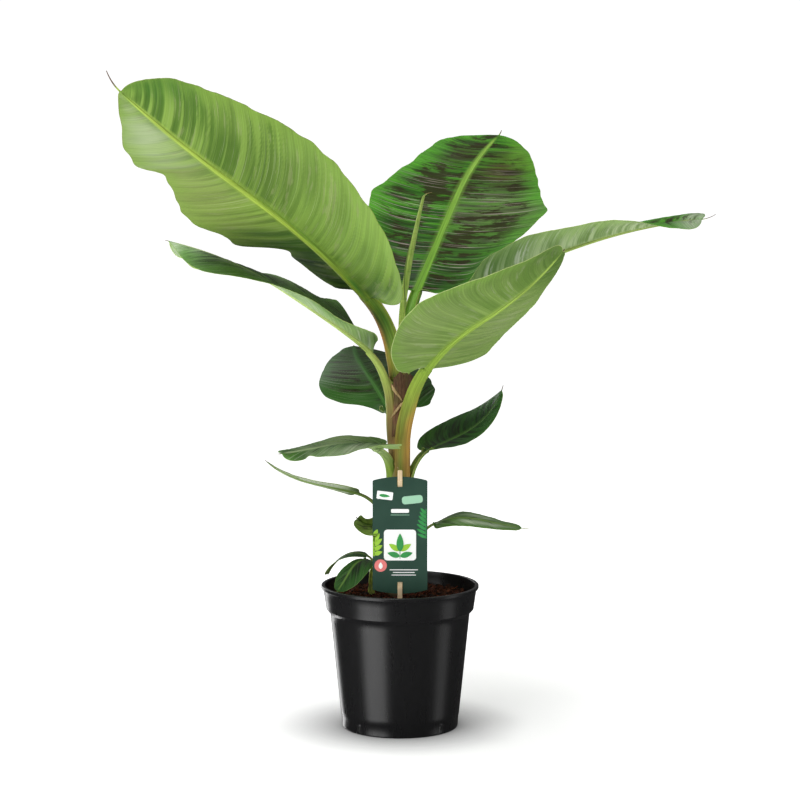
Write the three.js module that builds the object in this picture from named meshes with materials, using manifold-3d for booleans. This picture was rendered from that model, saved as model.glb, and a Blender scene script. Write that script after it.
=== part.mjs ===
// A young banana plant in a round nursery pot, with a plant label on a stick.
// Millimetres, +Z up. The origin is the centre of the pot's underside; the front faces -Y.
import * as THREE from "three";
import { mergeVertices } from "three/addons/utils/BufferGeometryUtils.js";
import Module from "manifold-3d";

const wasm = await Module();
wasm.setup();

// Driving dimensions
const GAP = 0.3; // between pieces that touch
const LEAF_GAP = 0.4; // between leaves that touch, whose skins are coarser

const POT_HEIGHT = 155;
const POT_RIM_RADIUS = 85;
const POT_LIP_RADIUS = 83; // the band just under the lip
const POT_LIP_HEIGHT = 4;
const POT_BAND_RADIUS = 79.7; // the foot of the band
const POT_BAND_HEIGHT = 26; // the band's foot below the rim
const POT_NECK_RADIUS = 75.5; // the wall just under the band
const POT_STEP_HEIGHT = 3.5;
const POT_FOOT_RADIUS = 62.8;
const POT_WALL = 1.6;
const POT_FLOOR = 4.5;
const POT_RECESS = 3; // the ring-shaped recess of the underside
const POT_PAD_RADIUS = 22;
const POT_RING_RADIUS = 47; // the inner edge of the foot ring
const POT_SLOPE = 2; // run of the recess's sloping sides
const POT_EDGE = 0.8; // bevel of the lip's edges
const POT_FOOT_EDGE = 1.3; // bevel of the foot's edge
const POT_LIP_TOP = 3.6; // width of the lip's top face, with its bevel
const DRAIN_HOLES = 6;
const DRAIN_RADIUS = 4;
const NOTCHES = 4;
const NOTCH_WIDTH = 7;
const NOTCH_HEIGHT = 7.5;
const NOTCH_DEPTH = 6; // into the foot
const LATHE_SIDES = 48;

const SOIL_EDGE = 141; // height of the soil at the pot's wall
const SOIL_MOUND = 4; // how much higher it is at the middle
const SOIL_SHOULDER = 50; // radius where the mound starts to fall off

const TRUNK_TOP = 386;
const TRUNK_FOOT_RADIUS = 16;
const TRUNK_RADIUS = 11.8;
const TRUNK_TOP_RADIUS = 10.5;
const TRUNK_FLARE = 30; // height of the swelling at the foot
const TRUNK_SIDES = 20;

const SHOOT_X = -31;
const SHOOT_TOP = 168;
const SHOOT_RADIUS = 3;
const SHOOT_FLARE = 1.4; // how much wider it is at its foot
const SHOOT_SIDES = 10;

const CARD_WIDTH = 58;
const CARD_BOTTOM = 154;
const CARD_TOP = 279;
const CARD_ARCH = 4; // rise of the rounded upper and lower edge
const CARD_THICKNESS = 0.6;
const CARD_Y = -50;
const STICK_WIDTH = 5;
const STICK_THICKNESS = 1.4;
const STICK_TOP = 286;
const SLOT_HEIGHTS = [162.4, 272]; // where the stick passes through the card
const SLOT_LENGTH = 8;
const SLOT_WIDTH = 6;

const ROLLED_LEAF = { root: [1, -2, 386.4], turn: [20, 0, -10], rise: [92, 82, 76], length: 190 };
const ROLLED_LEAF_RADII = [4.2, 3.6, 3.3, 2.6, 0.9];

const BLADE_THICKNESS = 0.0105; // of the blade's length
const ROUND_BASE = 0.1; // share of the blade that rounds off at its base
const ROUND_TIP = 0.12; // and at its tip
const STALK_FLATNESS = 0.72; // a stalk's thickness against its width
const TAIL_RADIUS = 0.8; // the thread at a leaf's tip
const LARGE_BLADE = 150; // a blade longer than this has the finer skin
const FINE_SKIN = { columns: 3, stalkSteps: 6, bladeSteps: 18 };
const COARSE_SKIN = { columns: 2, stalkSteps: 5, bladeSteps: 12 };

// One row for each leaf, inner leaves first. root: where the stalk starts. stalk and blade: lengths.
// stalkHalf: the stalk's half width at its two ends. turn and rise: the heading in degrees, about +Z
// from +X and above level, at the stalk's root, the blade's base, middle and tip. roll: how far the
// blade is turned about its rib, at its base, middle and tip. sweep: how far the veins lean to the
// tip. left and right: half widths at even steps from base to tip, with the half's lift from the rib
// and the curl that it adds towards its edge, in degrees. tail: length and bend of the end thread.
const LEAVES = [
  {
    name: "leaf_upper_back",
    root: [3, 6, 352], stalk: 127, stalkHalf: [9, 5.5], blade: 310, tail: [9, 30],
    turn: [77, 62, 73, 60], rise: [96, 47, 31, 26], roll: [5, 5, 5], sweep: [-0.3, 0.2],
    left: { half: [80, 85, 90, 85, 75, 75], lift: [15, 5, -5], curl: [10, 0, -5] },
    right: { half: [60, 80, 105, 90, 65, 35], lift: [10, 5, -5], curl: [5, 0, -10] },
  },
  {
    name: "leaf_upper_right",
    root: [7, 4, 345], stalk: 164, stalkHalf: [7, 4.5], blade: 283, tail: [17, 25],
    turn: [24, 33, 10, -25], rise: [102, 16, 18, 7], roll: [-10, -10, 15], sweep: [0.2, 0.3],
    left: { half: [35, 40, 40, 35, 30], lift: [45, 30, 20], curl: [-15, -25, -35] },
    right: { half: [30, 40, 35, 45, 40], lift: [60, 40, 15], curl: [-5, -20, -45] },
  },
  {
    name: "leaf_upper_left",
    root: [-4, -4, 350], stalk: 131, stalkHalf: [9, 7], blade: 388, tail: [26, 30],
    turn: [249, 222, 226, 227], rise: [96, 40, 29, 34], roll: [15, 35, 40], sweep: [0.1, 0.5],
    left: { half: [110, 120, 115, 95, 70, 35], lift: [-15, -5, -5], curl: [-30, -15, -15] },
    right: { half: [35, 45, 85, 50, 45, 10], lift: [10, 10, 5], curl: [-5, 0, 0] },
  },
  {
    name: "leaf_back",
    root: [0, 12, 320], stalk: 38, stalkHalf: [6, 4], blade: 214, tail: [5, 0],
    turn: [133, 112, 101, 91], rise: [53, 29, 10, 5], roll: [-35, -10, 0], sweep: [-0.4, 0.5],
    left: { half: [15, 30, 55, 40, 20], lift: [-30, -15, -10], curl: [-70, -30, -10] },
    right: { half: [45, 70, 75, 70, 60], lift: [-15, -10, -10], curl: [-35, -20, -10] },
  },
  {
    name: "leaf_front_right",
    root: [5, -12, 312], stalk: 96, stalkHalf: [8, 5.5], blade: 235, tail: [4, 10],
    turn: [300, 300, 310, 342], rise: [85, 35, 26, 50], roll: [-10, -25, -25], sweep: [-0.1, 0.6],
    left: { half: [70, 65, 50, 35, 15], lift: [15, 20, 15], curl: [0, 10, 15] },
    right: { half: [35, 78, 90, 70, 38], lift: [-10, -5, -10], curl: [-30, -20, -25] },
  },
  {
    name: "leaf_middle_left",
    root: [-11, -4, 335], stalk: 87, stalkHalf: [6, 4.5], blade: 268, tail: [5, 0],
    turn: [232, 240, 186, 151], rise: [95, 29, 33, 10], roll: [5, -5, -10], sweep: [0.2, 0.2],
    left: { half: [25, 15, 35, 35, 5], lift: [45, 20, -15], curl: [-10, -20, -40] },
    right: { half: [65, 50, 55, 45, 25], lift: [55, 15, -35], curl: [5, -25, -75] },
  },
  {
    name: "leaf_lower_right",
    root: [13, 1, 253], stalk: 59, stalkHalf: [4, 2.8], blade: 128, tail: [7, 10],
    turn: [26, 61, 29, 6], rise: [111, 7, 23, 68], roll: [0, 25, 20], sweep: [-0.1, 0.5],
    left: { half: [12, 32, 34, 22, 6], lift: [5, 0], curl: [-15, -15] },
    right: { half: [30, 24, 18, 14, 6], lift: [15, 5], curl: [-5, -5] },
  },
  {
    name: "leaf_lower_left",
    root: [-9, -4, 248], stalk: 71, stalkHalf: [6, 4.5], blade: 120, tail: [4, 0],
    turn: [270, 218, 220, 207], rise: [111, 19, -3, -4], roll: [-10, -5, -15], sweep: [-1.3, 0.1],
    left: { half: [20, 34, 26, 14, 12], lift: [25, -15], curl: [5, -50] },
    right: { half: [46, 30, 28, 26, 24], lift: [10, -5], curl: [5, -20] },
  },
  {
    name: "leaf_narrow_left",
    root: [-13, 2, 214], stalk: 57, stalkHalf: [2.4, 1.7], blade: 112, tail: [4, 10],
    turn: [182, 226, 193, 168], rise: [80, 18, 15, 34], roll: [25, 15, 10], sweep: [-0.1, 0.5],
    left: { half: [6, 8, 11, 9], lift: [30, 10], curl: [0, -30] },
    right: { half: [9, 9, 9, 10], lift: [15, 5], curl: [-20, -35] },
  },
  {
    name: "leaf_bottom_right",
    root: [14, -2, 190], stalk: 43, stalkHalf: [2.6, 1.8], blade: 97, tail: [9, 10],
    turn: [0, -32, -9, 5], rise: [80, 25, -8, -11], roll: [5, 5, 0], sweep: [-0.1, 0.5],
    left: { half: [35, 22, 12, 6], lift: [5, 15], curl: [-10, 0] },
    right: { half: [12, 13, 11, 6], lift: [-25, -20], curl: [-10, 5] },
  },
  {
    name: "leaf_bottom_left",
    root: [-4, -2, 182], stalk: 46, stalkHalf: [2.4, 1.8], blade: 37, tail: [3, 0],
    turn: [195, 202, 200, 198], rise: [136, 13, 7, 47], roll: [-15, -35, -35], sweep: [-0.1, 0.4],
    left: { half: [17, 28, 34, 29], lift: [50, 30], curl: [-10, -30] },
    right: { half: [17, 11, 6, 6], lift: [60, 50], curl: [10, 10] },
  },
  {
    name: "shoot_leaf_broad",
    root: [-31, -3, 168.4], stalk: 18, stalkHalf: [2.2, 1.6], blade: 53, tail: [4, 0],
    turn: [222, 225, 217, 208], rise: [123, 11, -50, -49], roll: [-5, -10, -10], sweep: [-0.1, 0.2],
    left: { half: [15, 22, 19, 8], lift: [5, 5], curl: [-10, -20] },
    right: { half: [6, 8, 13, 7], lift: [5, 10], curl: [-10, 0] },
  },
  {
    name: "shoot_leaf_narrow",
    root: [-31, 3, 168.4], stalk: 20, stalkHalf: [1.8, 1.4], blade: 52, tail: [3, 0],
    turn: [175, 186, 185, 178], rise: [128, 24, -26, -65], roll: [-5, 0, 5], sweep: [-0.1, 0.5],
    left: { half: [6, 14, 14, 10], lift: [0, 15], curl: [-20, 5] },
    right: { half: [12, 7, 6, 6], lift: [5, 0], curl: [-5, -15] },
  },
];

const COLOURS = {
  leaf: 0x3f7a2c,
  stalk: 0x9db53f,
  trunk: 0x8a7a3c,
  pot: 0x161617,
  soil: 0x35231a,
  card: 0x2a4b3a,
  stick: 0xd9c3a2,
};

// ---- helpers ----

const radians = THREE.MathUtils.degToRad;
const lerp = THREE.MathUtils.lerp;

function material(color, roughness) {
  return new THREE.MeshStandardMaterial({ color, roughness, metalness: 0 });
}

// A smooth curve through evenly spaced values, read at t from 0 to 1.
function through(values, t) {
  const last = values.length - 1;
  const x = Math.min(Math.max(t, 0), 1) * last;
  const i = Math.min(Math.floor(x), last - 1);
  const f = x - i;
  const at = (k) => values[Math.min(Math.max(k, 0), last)];
  const [p0, p1, p2, p3] = [at(i - 1), at(i), at(i + 1), at(i + 2)];
  return p1 + 0.5 * f * (p2 - p0 + f * (2 * p0 - 5 * p1 + 4 * p2 - p3 + f * (3 * (p1 - p2) + p3 - p0)));
}

function toSolid(geometry) {
  const bare = geometry.index ? geometry.clone() : geometry;
  bare.deleteAttribute("normal");
  bare.deleteAttribute("uv");
  const merged = mergeVertices(bare, 1e-4);
  return new wasm.Manifold(
    new wasm.Mesh({
      numProp: 3,
      vertProperties: new Float32Array(merged.attributes.position.array),
      triVerts: new Uint32Array(merged.index.array),
    }),
  );
}

function toGeometry(solid) {
  const mesh = solid.getMesh();
  const geometry = new THREE.BufferGeometry();
  geometry.setAttribute("position", new THREE.BufferAttribute(mesh.vertProperties, 3));
  geometry.setIndex(new THREE.BufferAttribute(mesh.triVerts, 1));
  geometry.computeVertexNormals();
  return geometry;
}

// The largest of the pieces that a cut leaves.
function largest(solid) {
  const pieces = solid.decompose();
  return pieces.reduce((a, b) => (b.volume() > a.volume() ? b : a));
}

// A closed skin over rings of equally many points, with a flat cap at each end.
function loft(rings) {
  const sides = rings[0].length;
  const middle = (ring) => ring.reduce((sum, p) => sum.add(p), new THREE.Vector3()).divideScalar(sides);
  const points = [...rings.flat(), middle(rings[0]), middle(rings.at(-1))];
  const start = points.length - 2;
  const faces = [];
  rings.forEach((ring, r) => {
    for (let k = 0; k < sides; k++) {
      const next = (k + 1) % sides;
      if (r === 0) faces.push(start, next, k);
      if (r === rings.length - 1) {
        faces.push(start + 1, r * sides + k, r * sides + next);
      } else {
        const [a, b] = [r * sides + k, r * sides + next];
        faces.push(a, b, b + sides, a, b + sides, a + sides);
      }
    }
  });
  const geometry = new THREE.BufferGeometry();
  geometry.setAttribute(
    "position",
    new THREE.Float32BufferAttribute(points.flatMap((p) => p.toArray()), 3),
  );
  geometry.setIndex(faces);
  return geometry;
}

function lathe(profile, sides) {
  const points = profile.map(([r, z]) => new THREE.Vector2(r, z));
  return new THREE.LatheGeometry(points, sides).rotateX(Math.PI / 2);
}

// ---- pot and soil ----

function potProfile() {
  const lipFoot = POT_HEIGHT - POT_LIP_HEIGHT;
  const bandFoot = POT_HEIGHT - POT_BAND_HEIGHT;
  const neck = bandFoot - POT_STEP_HEIGHT;
  const outside = [
    [POT_FOOT_RADIUS - POT_FOOT_EDGE, 0],
    [POT_FOOT_RADIUS, POT_FOOT_EDGE],
    [POT_NECK_RADIUS, neck],
    [POT_BAND_RADIUS, bandFoot],
    [POT_LIP_RADIUS, lipFoot],
    [POT_RIM_RADIUS, lipFoot + POT_EDGE],
    [POT_RIM_RADIUS, POT_HEIGHT - POT_EDGE],
    [POT_RIM_RADIUS - POT_EDGE, POT_HEIGHT],
  ];
  const inside = [
    [POT_RIM_RADIUS - POT_LIP_TOP, POT_HEIGHT],
    [POT_LIP_RADIUS - POT_WALL, lipFoot - POT_EDGE],
    [POT_BAND_RADIUS - POT_WALL, bandFoot],
    [POT_NECK_RADIUS - POT_WALL, neck],
    [POT_FOOT_RADIUS - POT_WALL, POT_FLOOR],
  ];
  const underside = [
    [0, 0],
    [POT_PAD_RADIUS, 0],
    [POT_PAD_RADIUS + POT_SLOPE, POT_RECESS],
    [POT_RING_RADIUS - POT_SLOPE, POT_RECESS],
    [POT_RING_RADIUS, 0],
  ];
  return { underside, outside, inside };
}

function makePot() {
  const { underside, outside, inside } = potProfile();
  let pot = toSolid(lathe([...underside, ...outside, ...inside, [0, POT_FLOOR]], LATHE_SIDES));
  const cut = (geometry) => {
    pot = pot.subtract(toSolid(geometry));
  };
  const drainRing = (POT_PAD_RADIUS + POT_RING_RADIUS) / 2;
  for (let k = 0; k < DRAIN_HOLES; k++) {
    const angle = (k / DRAIN_HOLES) * 2 * Math.PI;
    const hole = new THREE.CylinderGeometry(DRAIN_RADIUS, DRAIN_RADIUS, 2 * POT_FLOOR, 12);
    hole.rotateX(Math.PI / 2);
    hole.translate(drainRing * Math.cos(angle), drainRing * Math.sin(angle), POT_FLOOR);
    cut(hole);
  }
  for (let k = 0; k < NOTCHES; k++) {
    const notch = new THREE.BoxGeometry(2 * NOTCH_DEPTH, NOTCH_WIDTH, 2 * NOTCH_HEIGHT);
    notch.translate(POT_FOOT_RADIUS, 0, 0);
    notch.rotateZ(((k + 0.5) / NOTCHES) * 2 * Math.PI);
    cut(notch);
  }
  return toGeometry(pot);
}

function makeSoil(rise = 0) {
  const [, lip, band, neck, floor] = potProfile().inside;
  const wallAt = (z) => lerp(band[0], lip[0], (z - band[1]) / (lip[1] - band[1]));
  const clear = 1.5 * GAP; // sideways, so that the sloping step keeps its gap too
  const profile = [
    [0, POT_FLOOR + GAP],
    [floor[0] - clear, POT_FLOOR + GAP],
    [neck[0] - clear, neck[1]],
    [band[0] - clear, band[1]],
    [wallAt(SOIL_EDGE) - clear, SOIL_EDGE + rise],
    [SOIL_SHOULDER, SOIL_EDGE + 0.6 * SOIL_MOUND + rise],
    [0, SOIL_EDGE + SOIL_MOUND + rise],
  ];
  return lathe(profile, LATHE_SIDES);
}

// ---- trunk and side shoot ----

function upright(x, y, radii, sides) {
  const rings = radii.map(([z, r]) =>
    Array.from({ length: sides }, (_, k) => {
      const angle = (k / sides) * 2 * Math.PI;
      return new THREE.Vector3(x + r * Math.cos(angle), y + r * Math.sin(angle), z);
    }),
  );
  return loft(rings);
}

function trunkShape(grow = 0) {
  const foot = SOIL_EDGE;
  const waist = SOIL_EDGE + SOIL_MOUND + TRUNK_FLARE;
  const radii = [
    [foot, TRUNK_FOOT_RADIUS + grow],
    [foot + SOIL_MOUND + 3, TRUNK_FOOT_RADIUS - 0.8 + grow],
    [lerp(foot + SOIL_MOUND, waist, 0.5), lerp(TRUNK_FOOT_RADIUS, TRUNK_RADIUS, 0.7) + grow],
    [waist, TRUNK_RADIUS + 0.4 + grow],
    [lerp(waist, TRUNK_TOP, 0.5), TRUNK_RADIUS + grow],
    [lerp(waist, TRUNK_TOP, 0.85), TRUNK_RADIUS + grow],
    [TRUNK_TOP + grow, TRUNK_TOP_RADIUS + grow],
  ];
  return upright(0, 0, radii, TRUNK_SIDES);
}

function shootShape(grow = 0) {
  const radii = [
    [SOIL_EDGE, SHOOT_RADIUS + SHOOT_FLARE + grow],
    [lerp(SOIL_EDGE, SHOOT_TOP, 0.5), SHOOT_RADIUS + grow],
    [SHOOT_TOP + grow, SHOOT_RADIUS - 0.3 + grow],
  ];
  return upright(SHOOT_X, 0, radii, SHOOT_SIDES);
}

// ---- leaves ----

// The direction along the leaf, its upper side and its right side, from a heading in degrees.
function frameAt(turn, rise, roll) {
  const [a, i, r] = [turn, rise, roll].map(radians);
  const along = new THREE.Vector3(Math.cos(i) * Math.cos(a), Math.cos(i) * Math.sin(a), Math.sin(i));
  const up = new THREE.Vector3(-Math.sin(i) * Math.cos(a), -Math.sin(i) * Math.sin(a), Math.cos(i));
  const across = along.clone().cross(up);
  return {
    along,
    up: up.clone().multiplyScalar(Math.cos(r)).addScaledVector(across, Math.sin(r)),
    across: across.clone().multiplyScalar(Math.cos(r)).addScaledVector(up, -Math.sin(r)),
  };
}

// Walks from start along headings that vary with s from 0 to 1, and stops at each share in stops.
function walk(start, length, headingAt, stops) {
  const STEPS = 96;
  const place = start.clone();
  const stations = [];
  let s = 0;
  for (const stop of stops) {
    const count = Math.max(1, Math.ceil((stop - s) * STEPS));
    for (let k = 0; k < count && stop > s; k++) {
      const middle = s + ((k + 0.5) / count) * (stop - s);
      place.addScaledVector(headingAt(middle).along, (length * (stop - s)) / count);
    }
    s = stop;
    stations.push({ s, place: place.clone(), ...headingAt(s) });
  }
  return stations;
}

const evenly = (n) => Array.from({ length: n + 1 }, (_, k) => k / n);
const closerAtEnds = (n) => evenly(n).map((s) => (1 - Math.cos(Math.PI * s)) / 2);

// The outline's share of its half width, rounded off at both ends of the blade.
function rounding(t) {
  const base = Math.min(t / ROUND_BASE, 1);
  const tip = Math.min((1 - t) / ROUND_TIP, 1);
  return Math.sqrt(1 - (1 - base) ** 2) * Math.sqrt(1 - (1 - tip) ** 2);
}

// An oval ring with as many points as a blade's section.
function ovalRing(station, width, depth, columns) {
  const count = 4 * columns + 2;
  return Array.from({ length: count }, (_, k) => {
    const angle = Math.PI - ((k + 0.5) / count) * 2 * Math.PI;
    return station.place
      .clone()
      .addScaledVector(station.across, width * Math.cos(angle))
      .addScaledVector(station.up, depth * Math.sin(angle));
  });
}

// One half of the blade's section, from the rib to the edge: the points and the way up at each.
function halfSection(leaf, station, sign, columns, rib, grow) {
  const side = sign > 0 ? leaf.right : leaf.left;
  const t = station.s;
  const width = Math.max(through(side.half, t) * rounding(t), rib) + grow;
  const lift = radians(through(side.lift, t));
  const curl = radians(through(side.curl, t));
  const sweep = through(leaf.sweep, t);
  const place = station.place.clone();
  const section = [];
  for (let k = 0; k <= columns; k++) {
    const u = k / columns;
    const angle = lift + curl * u;
    const up = station.up.clone().multiplyScalar(Math.cos(angle));
    up.addScaledVector(station.across, -Math.sin(angle) * sign);
    section.push({ place: place.clone(), up });
    const middle = (k + 0.5) / columns;
    const bend = lift + curl * middle;
    place.addScaledVector(station.across, (Math.cos(bend) * sign * width) / columns);
    place.addScaledVector(station.up, (Math.sin(bend) * width) / columns);
    place.addScaledVector(station.along, (2 * sweep * middle * width) / columns);
  }
  return section;
}

// The blade's section as a ring: over the upper side from left to right, and back underneath.
function bladeRing(leaf, station, columns, grow) {
  const rib = lerp(leaf.stalkHalf[1], 1, station.s);
  const half = (leaf.blade * BLADE_THICKNESS) / 2 + grow;
  const ribDepth = Math.max(half, rib * STALK_FLATNESS + grow);
  const left = halfSection(leaf, station, -1, columns, rib, grow).reverse();
  const right = halfSection(leaf, station, 1, columns, rib, grow);
  left[columns].up = station.up;
  const section = [...left, ...right.slice(1)];
  const offset = (p, d) => p.place.clone().addScaledVector(p.up, d);
  const under = (p, k) => offset(p, k === columns ? -ribDepth : -half);
  return [...section.map((p) => offset(p, half)), ...section.map(under).reverse()];
}

function leafShape(leaf, grow = 0) {
  const { columns, stalkSteps, bladeSteps } = leaf.blade > LARGE_BLADE ? FINE_SKIN : COARSE_SKIN;
  const [turn0, ...turns] = leaf.turn;
  const [rise0, ...rises] = leaf.rise;
  const stalkHeading = (s) =>
    frameAt(lerp(turn0, turns[0], s), lerp(rise0, rises[0], s), lerp(0, leaf.roll[0], s));
  const bladeHeading = (t) => frameAt(through(turns, t), through(rises, t), through(leaf.roll, t));
  const root = new THREE.Vector3(...leaf.root).addScaledVector(stalkHeading(0).along, -3 * grow);
  const stalk = walk(root, leaf.stalk + 3 * grow, stalkHeading, evenly(stalkSteps));
  const blade = walk(stalk.at(-1).place, leaf.blade, bladeHeading, closerAtEnds(bladeSteps));
  const [tailLength, tailBend] = leaf.tail;
  const tailHeading = (s) => frameAt(turns[2], rises[2] + tailBend * s, leaf.roll[2]);
  const tail = walk(blade.at(-1).place, tailLength, tailHeading, [0.4, 1]);
  const rings = [];
  for (const station of stalk.slice(0, -1)) {
    const half = lerp(leaf.stalkHalf[0], leaf.stalkHalf[1], station.s);
    rings.push(ovalRing(station, half + grow, half * STALK_FLATNESS + grow, columns));
  }
  for (const station of blade) rings.push(bladeRing(leaf, station, columns, grow));
  for (const station of tail) {
    const half = lerp(TAIL_RADIUS * 1.4, TAIL_RADIUS, station.s) + grow;
    rings.push(ovalRing(station, half, half, columns));
  }
  return loft(rings);
}

function rolledLeafShape(grow = 0) {
  const { root, turn, rise, length } = ROLLED_LEAF;
  const heading = (s) => frameAt(through(turn, s), through(rise, s), 0);
  const start = new THREE.Vector3(...root).addScaledVector(heading(0).along, -3 * grow);
  const stations = walk(start, length + 3 * grow, heading, evenly(8));
  const radius = (s) => through(ROLLED_LEAF_RADII, s) + grow;
  return loft(stations.map((station) => ovalRing(station, radius(station.s), radius(station.s), 2)));
}

// ---- label ----

function cardShape() {
  const half = CARD_WIDTH / 2;
  const shape = new THREE.Shape();
  shape.moveTo(-half, CARD_BOTTOM + CARD_ARCH);
  shape.quadraticCurveTo(0, CARD_BOTTOM - CARD_ARCH, half, CARD_BOTTOM + CARD_ARCH);
  shape.lineTo(half, CARD_TOP - CARD_ARCH);
  shape.quadraticCurveTo(0, CARD_TOP + CARD_ARCH, -half, CARD_TOP - CARD_ARCH);
  shape.closePath();
  for (const z of SLOT_HEIGHTS) {
    const [w, h] = [SLOT_WIDTH / 2, SLOT_LENGTH / 2];
    const slot = new THREE.Path();
    slot.moveTo(-w, z - h);
    slot.lineTo(-w, z + h);
    slot.lineTo(w, z + h);
    slot.lineTo(w, z - h);
    slot.closePath();
    shape.holes.push(slot);
  }
  const card = new THREE.ExtrudeGeometry(shape, {
    depth: CARD_THICKNESS,
    bevelEnabled: false,
    curveSegments: 10,
  });
  card.rotateX(Math.PI / 2);
  card.translate(0, CARD_Y + CARD_THICKNESS / 2, 0);
  return card;
}

// The stick's side view: in front of the card, behind it between the slots, and in front again.
function stickShape() {
  const away = CARD_THICKNESS / 2 + GAP + STICK_THICKNESS / 2;
  const [front, back] = [CARD_Y - away, CARD_Y + away];
  const pass = SLOT_LENGTH / 2 - 1;
  const [low, high] = SLOT_HEIGHTS;
  const line = [
    [front, SOIL_EDGE],
    [front, low - pass],
    [back, low + pass],
    [back, high - pass],
    [front, high + pass],
    [front, STICK_TOP],
  ];
  const half = STICK_THICKNESS / 2;
  const shape = new THREE.Shape();
  const edge = [
    ...line.map(([y, z]) => [y - half, z]),
    ...line.map(([y, z]) => [y + half, z]).reverse(),
  ];
  shape.setFromPoints(edge.map(([y, z]) => new THREE.Vector2(y, z)));
  const stick = new THREE.ExtrudeGeometry(shape, { depth: STICK_WIDTH, bevelEnabled: false });
  stick.translate(0, 0, -STICK_WIDTH / 2);
  stick.rotateX(Math.PI / 2);
  stick.rotateZ(Math.PI / 2);
  return stick;
}

// ---- the plant ----

const plant = new THREE.Group();

function place(name, geometry, look) {
  const mesh = new THREE.Mesh(geometry, look);
  mesh.name = name;
  plant.add(mesh);
}

const soilKeep = toSolid(makeSoil(GAP));
const trunkKeep = toSolid(trunkShape(GAP));
const shootKeep = toSolid(shootShape(GAP));
const aboveSoil = (geometry) => toGeometry(largest(toSolid(geometry).subtract(soilKeep)));

place("pot", makePot(), material(COLOURS.pot, 0.3));
place("soil", makeSoil(), material(COLOURS.soil, 0.95));
place("trunk", aboveSoil(trunkShape()), material(COLOURS.trunk, 0.6));
place("side_shoot", aboveSoil(shootShape()), material(COLOURS.stalk, 0.6));
place("label_stick", aboveSoil(stickShape()), material(COLOURS.stick, 0.7));
place("label_card", cardShape(), material(COLOURS.card, 0.4));
place("leaf_rolled", rolledLeafShape(), material(COLOURS.stalk, 0.5));

// Each leaf is cut clear of the stems and of the leaves inside it.
const leafLook = material(COLOURS.leaf, 0.5);
const kept = [trunkKeep, shootKeep, toSolid(rolledLeafShape(LEAF_GAP))];
for (const leaf of LEAVES) {
  let solid = toSolid(leafShape(leaf));
  for (const inner of kept) solid = solid.subtract(inner);
  place(leaf.name, toGeometry(largest(solid)), leafLook);
  kept.push(toSolid(leafShape(leaf, LEAF_GAP)));
}

export default plant;
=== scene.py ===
"""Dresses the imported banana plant: leaves, stem, pot, soil and label, in the plant's own frame."""
import math
from types import SimpleNamespace

import bpy
import numpy as np
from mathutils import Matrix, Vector
from mathutils.geometry import tessellate_polygon


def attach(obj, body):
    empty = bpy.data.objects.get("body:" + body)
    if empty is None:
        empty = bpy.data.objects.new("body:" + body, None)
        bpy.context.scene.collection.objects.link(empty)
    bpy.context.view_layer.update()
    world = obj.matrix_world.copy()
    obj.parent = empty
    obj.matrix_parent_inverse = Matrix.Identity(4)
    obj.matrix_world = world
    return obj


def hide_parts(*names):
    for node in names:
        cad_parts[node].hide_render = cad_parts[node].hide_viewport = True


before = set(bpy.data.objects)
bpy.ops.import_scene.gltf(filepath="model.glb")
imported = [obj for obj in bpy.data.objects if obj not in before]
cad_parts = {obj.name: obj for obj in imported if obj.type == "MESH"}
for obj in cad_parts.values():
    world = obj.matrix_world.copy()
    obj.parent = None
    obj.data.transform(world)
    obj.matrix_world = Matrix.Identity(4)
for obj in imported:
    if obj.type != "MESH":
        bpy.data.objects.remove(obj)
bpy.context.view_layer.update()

MM = 0.001  # the plant's numbers are millimetres; Blender's unit is the metre
TAU = 2 * math.pi


# ---- numbers and noise ----


def noise(x, y, seed):
    """Smooth random values from -1 to 1 on a lattice of unit cells."""
    x, y = np.broadcast_arrays(np.asarray(x, float), np.asarray(y, float))
    i, j = np.floor(x), np.floor(y)
    fx, fy = x - i, y - j
    fx, fy = fx * fx * (3 - 2 * fx), fy * fy * (3 - 2 * fy)

    def lattice(a, b):
        h = np.sin(a * 127.1 + b * 311.7 + seed * 74.7) * 43758.5453
        return 2 * (h - np.floor(h)) - 1

    low = lattice(i, j) * (1 - fx) + lattice(i + 1, j) * fx
    high = lattice(i, j + 1) * (1 - fx) + lattice(i + 1, j + 1) * fx
    return low * (1 - fy) + high * fy


def step(x, low, high):
    """0 below low, 1 above high, and smooth between."""
    x = np.clip((np.asarray(x, float) - low) / (high - low), 0, 1)
    return x * x * (3 - 2 * x)


def lerp(a, b, t):
    return a + (b - a) * t


def through(values, t):
    """A smooth curve through evenly spaced values, read at t from 0 to 1."""
    v = np.asarray(values, float)
    last = len(v) - 1
    x = np.clip(t, 0, 1) * last
    i = np.minimum(np.floor(x).astype(int), last - 1)
    f = x - i
    p0, p1, p2, p3 = (v[np.clip(i + k, 0, last)] for k in (-1, 0, 1, 2))
    return p1 + 0.5 * f * (p2 - p0 + f * (2 * p0 - 5 * p1 + 4 * p2 - p3 + f * (3 * (p1 - p2) + p3 - p0)))


def circle(count):
    """Angles once round, without the first again at the end."""
    return np.linspace(0, TAU, count + 1)[:-1]


def rgb(code):
    """A colour as linear red, green, blue and alpha from its usual six-digit code."""
    parts = [int(code[k : k + 2], 16) / 255 for k in (0, 2, 4)]
    return (*(c / 12.92 if c < 0.04045 else ((c + 0.055) / 1.055) ** 2.4 for c in parts), 1.0)


# ---- meshes ----


def grid_faces(rows, columns, start=0, ring=False, flip=False):
    """Quads over a grid of points, closed round its columns if it is a ring."""
    i = np.arange(rows - 1)[:, None] * columns
    k = np.arange(columns if ring else columns - 1)[None, :]
    n = (k + 1) % columns
    quads = np.stack([i + k, i + n, i + columns + n, i + columns + k], -1).reshape(-1, 4) + start
    return quads[:, ::-1] if flip else quads


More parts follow.
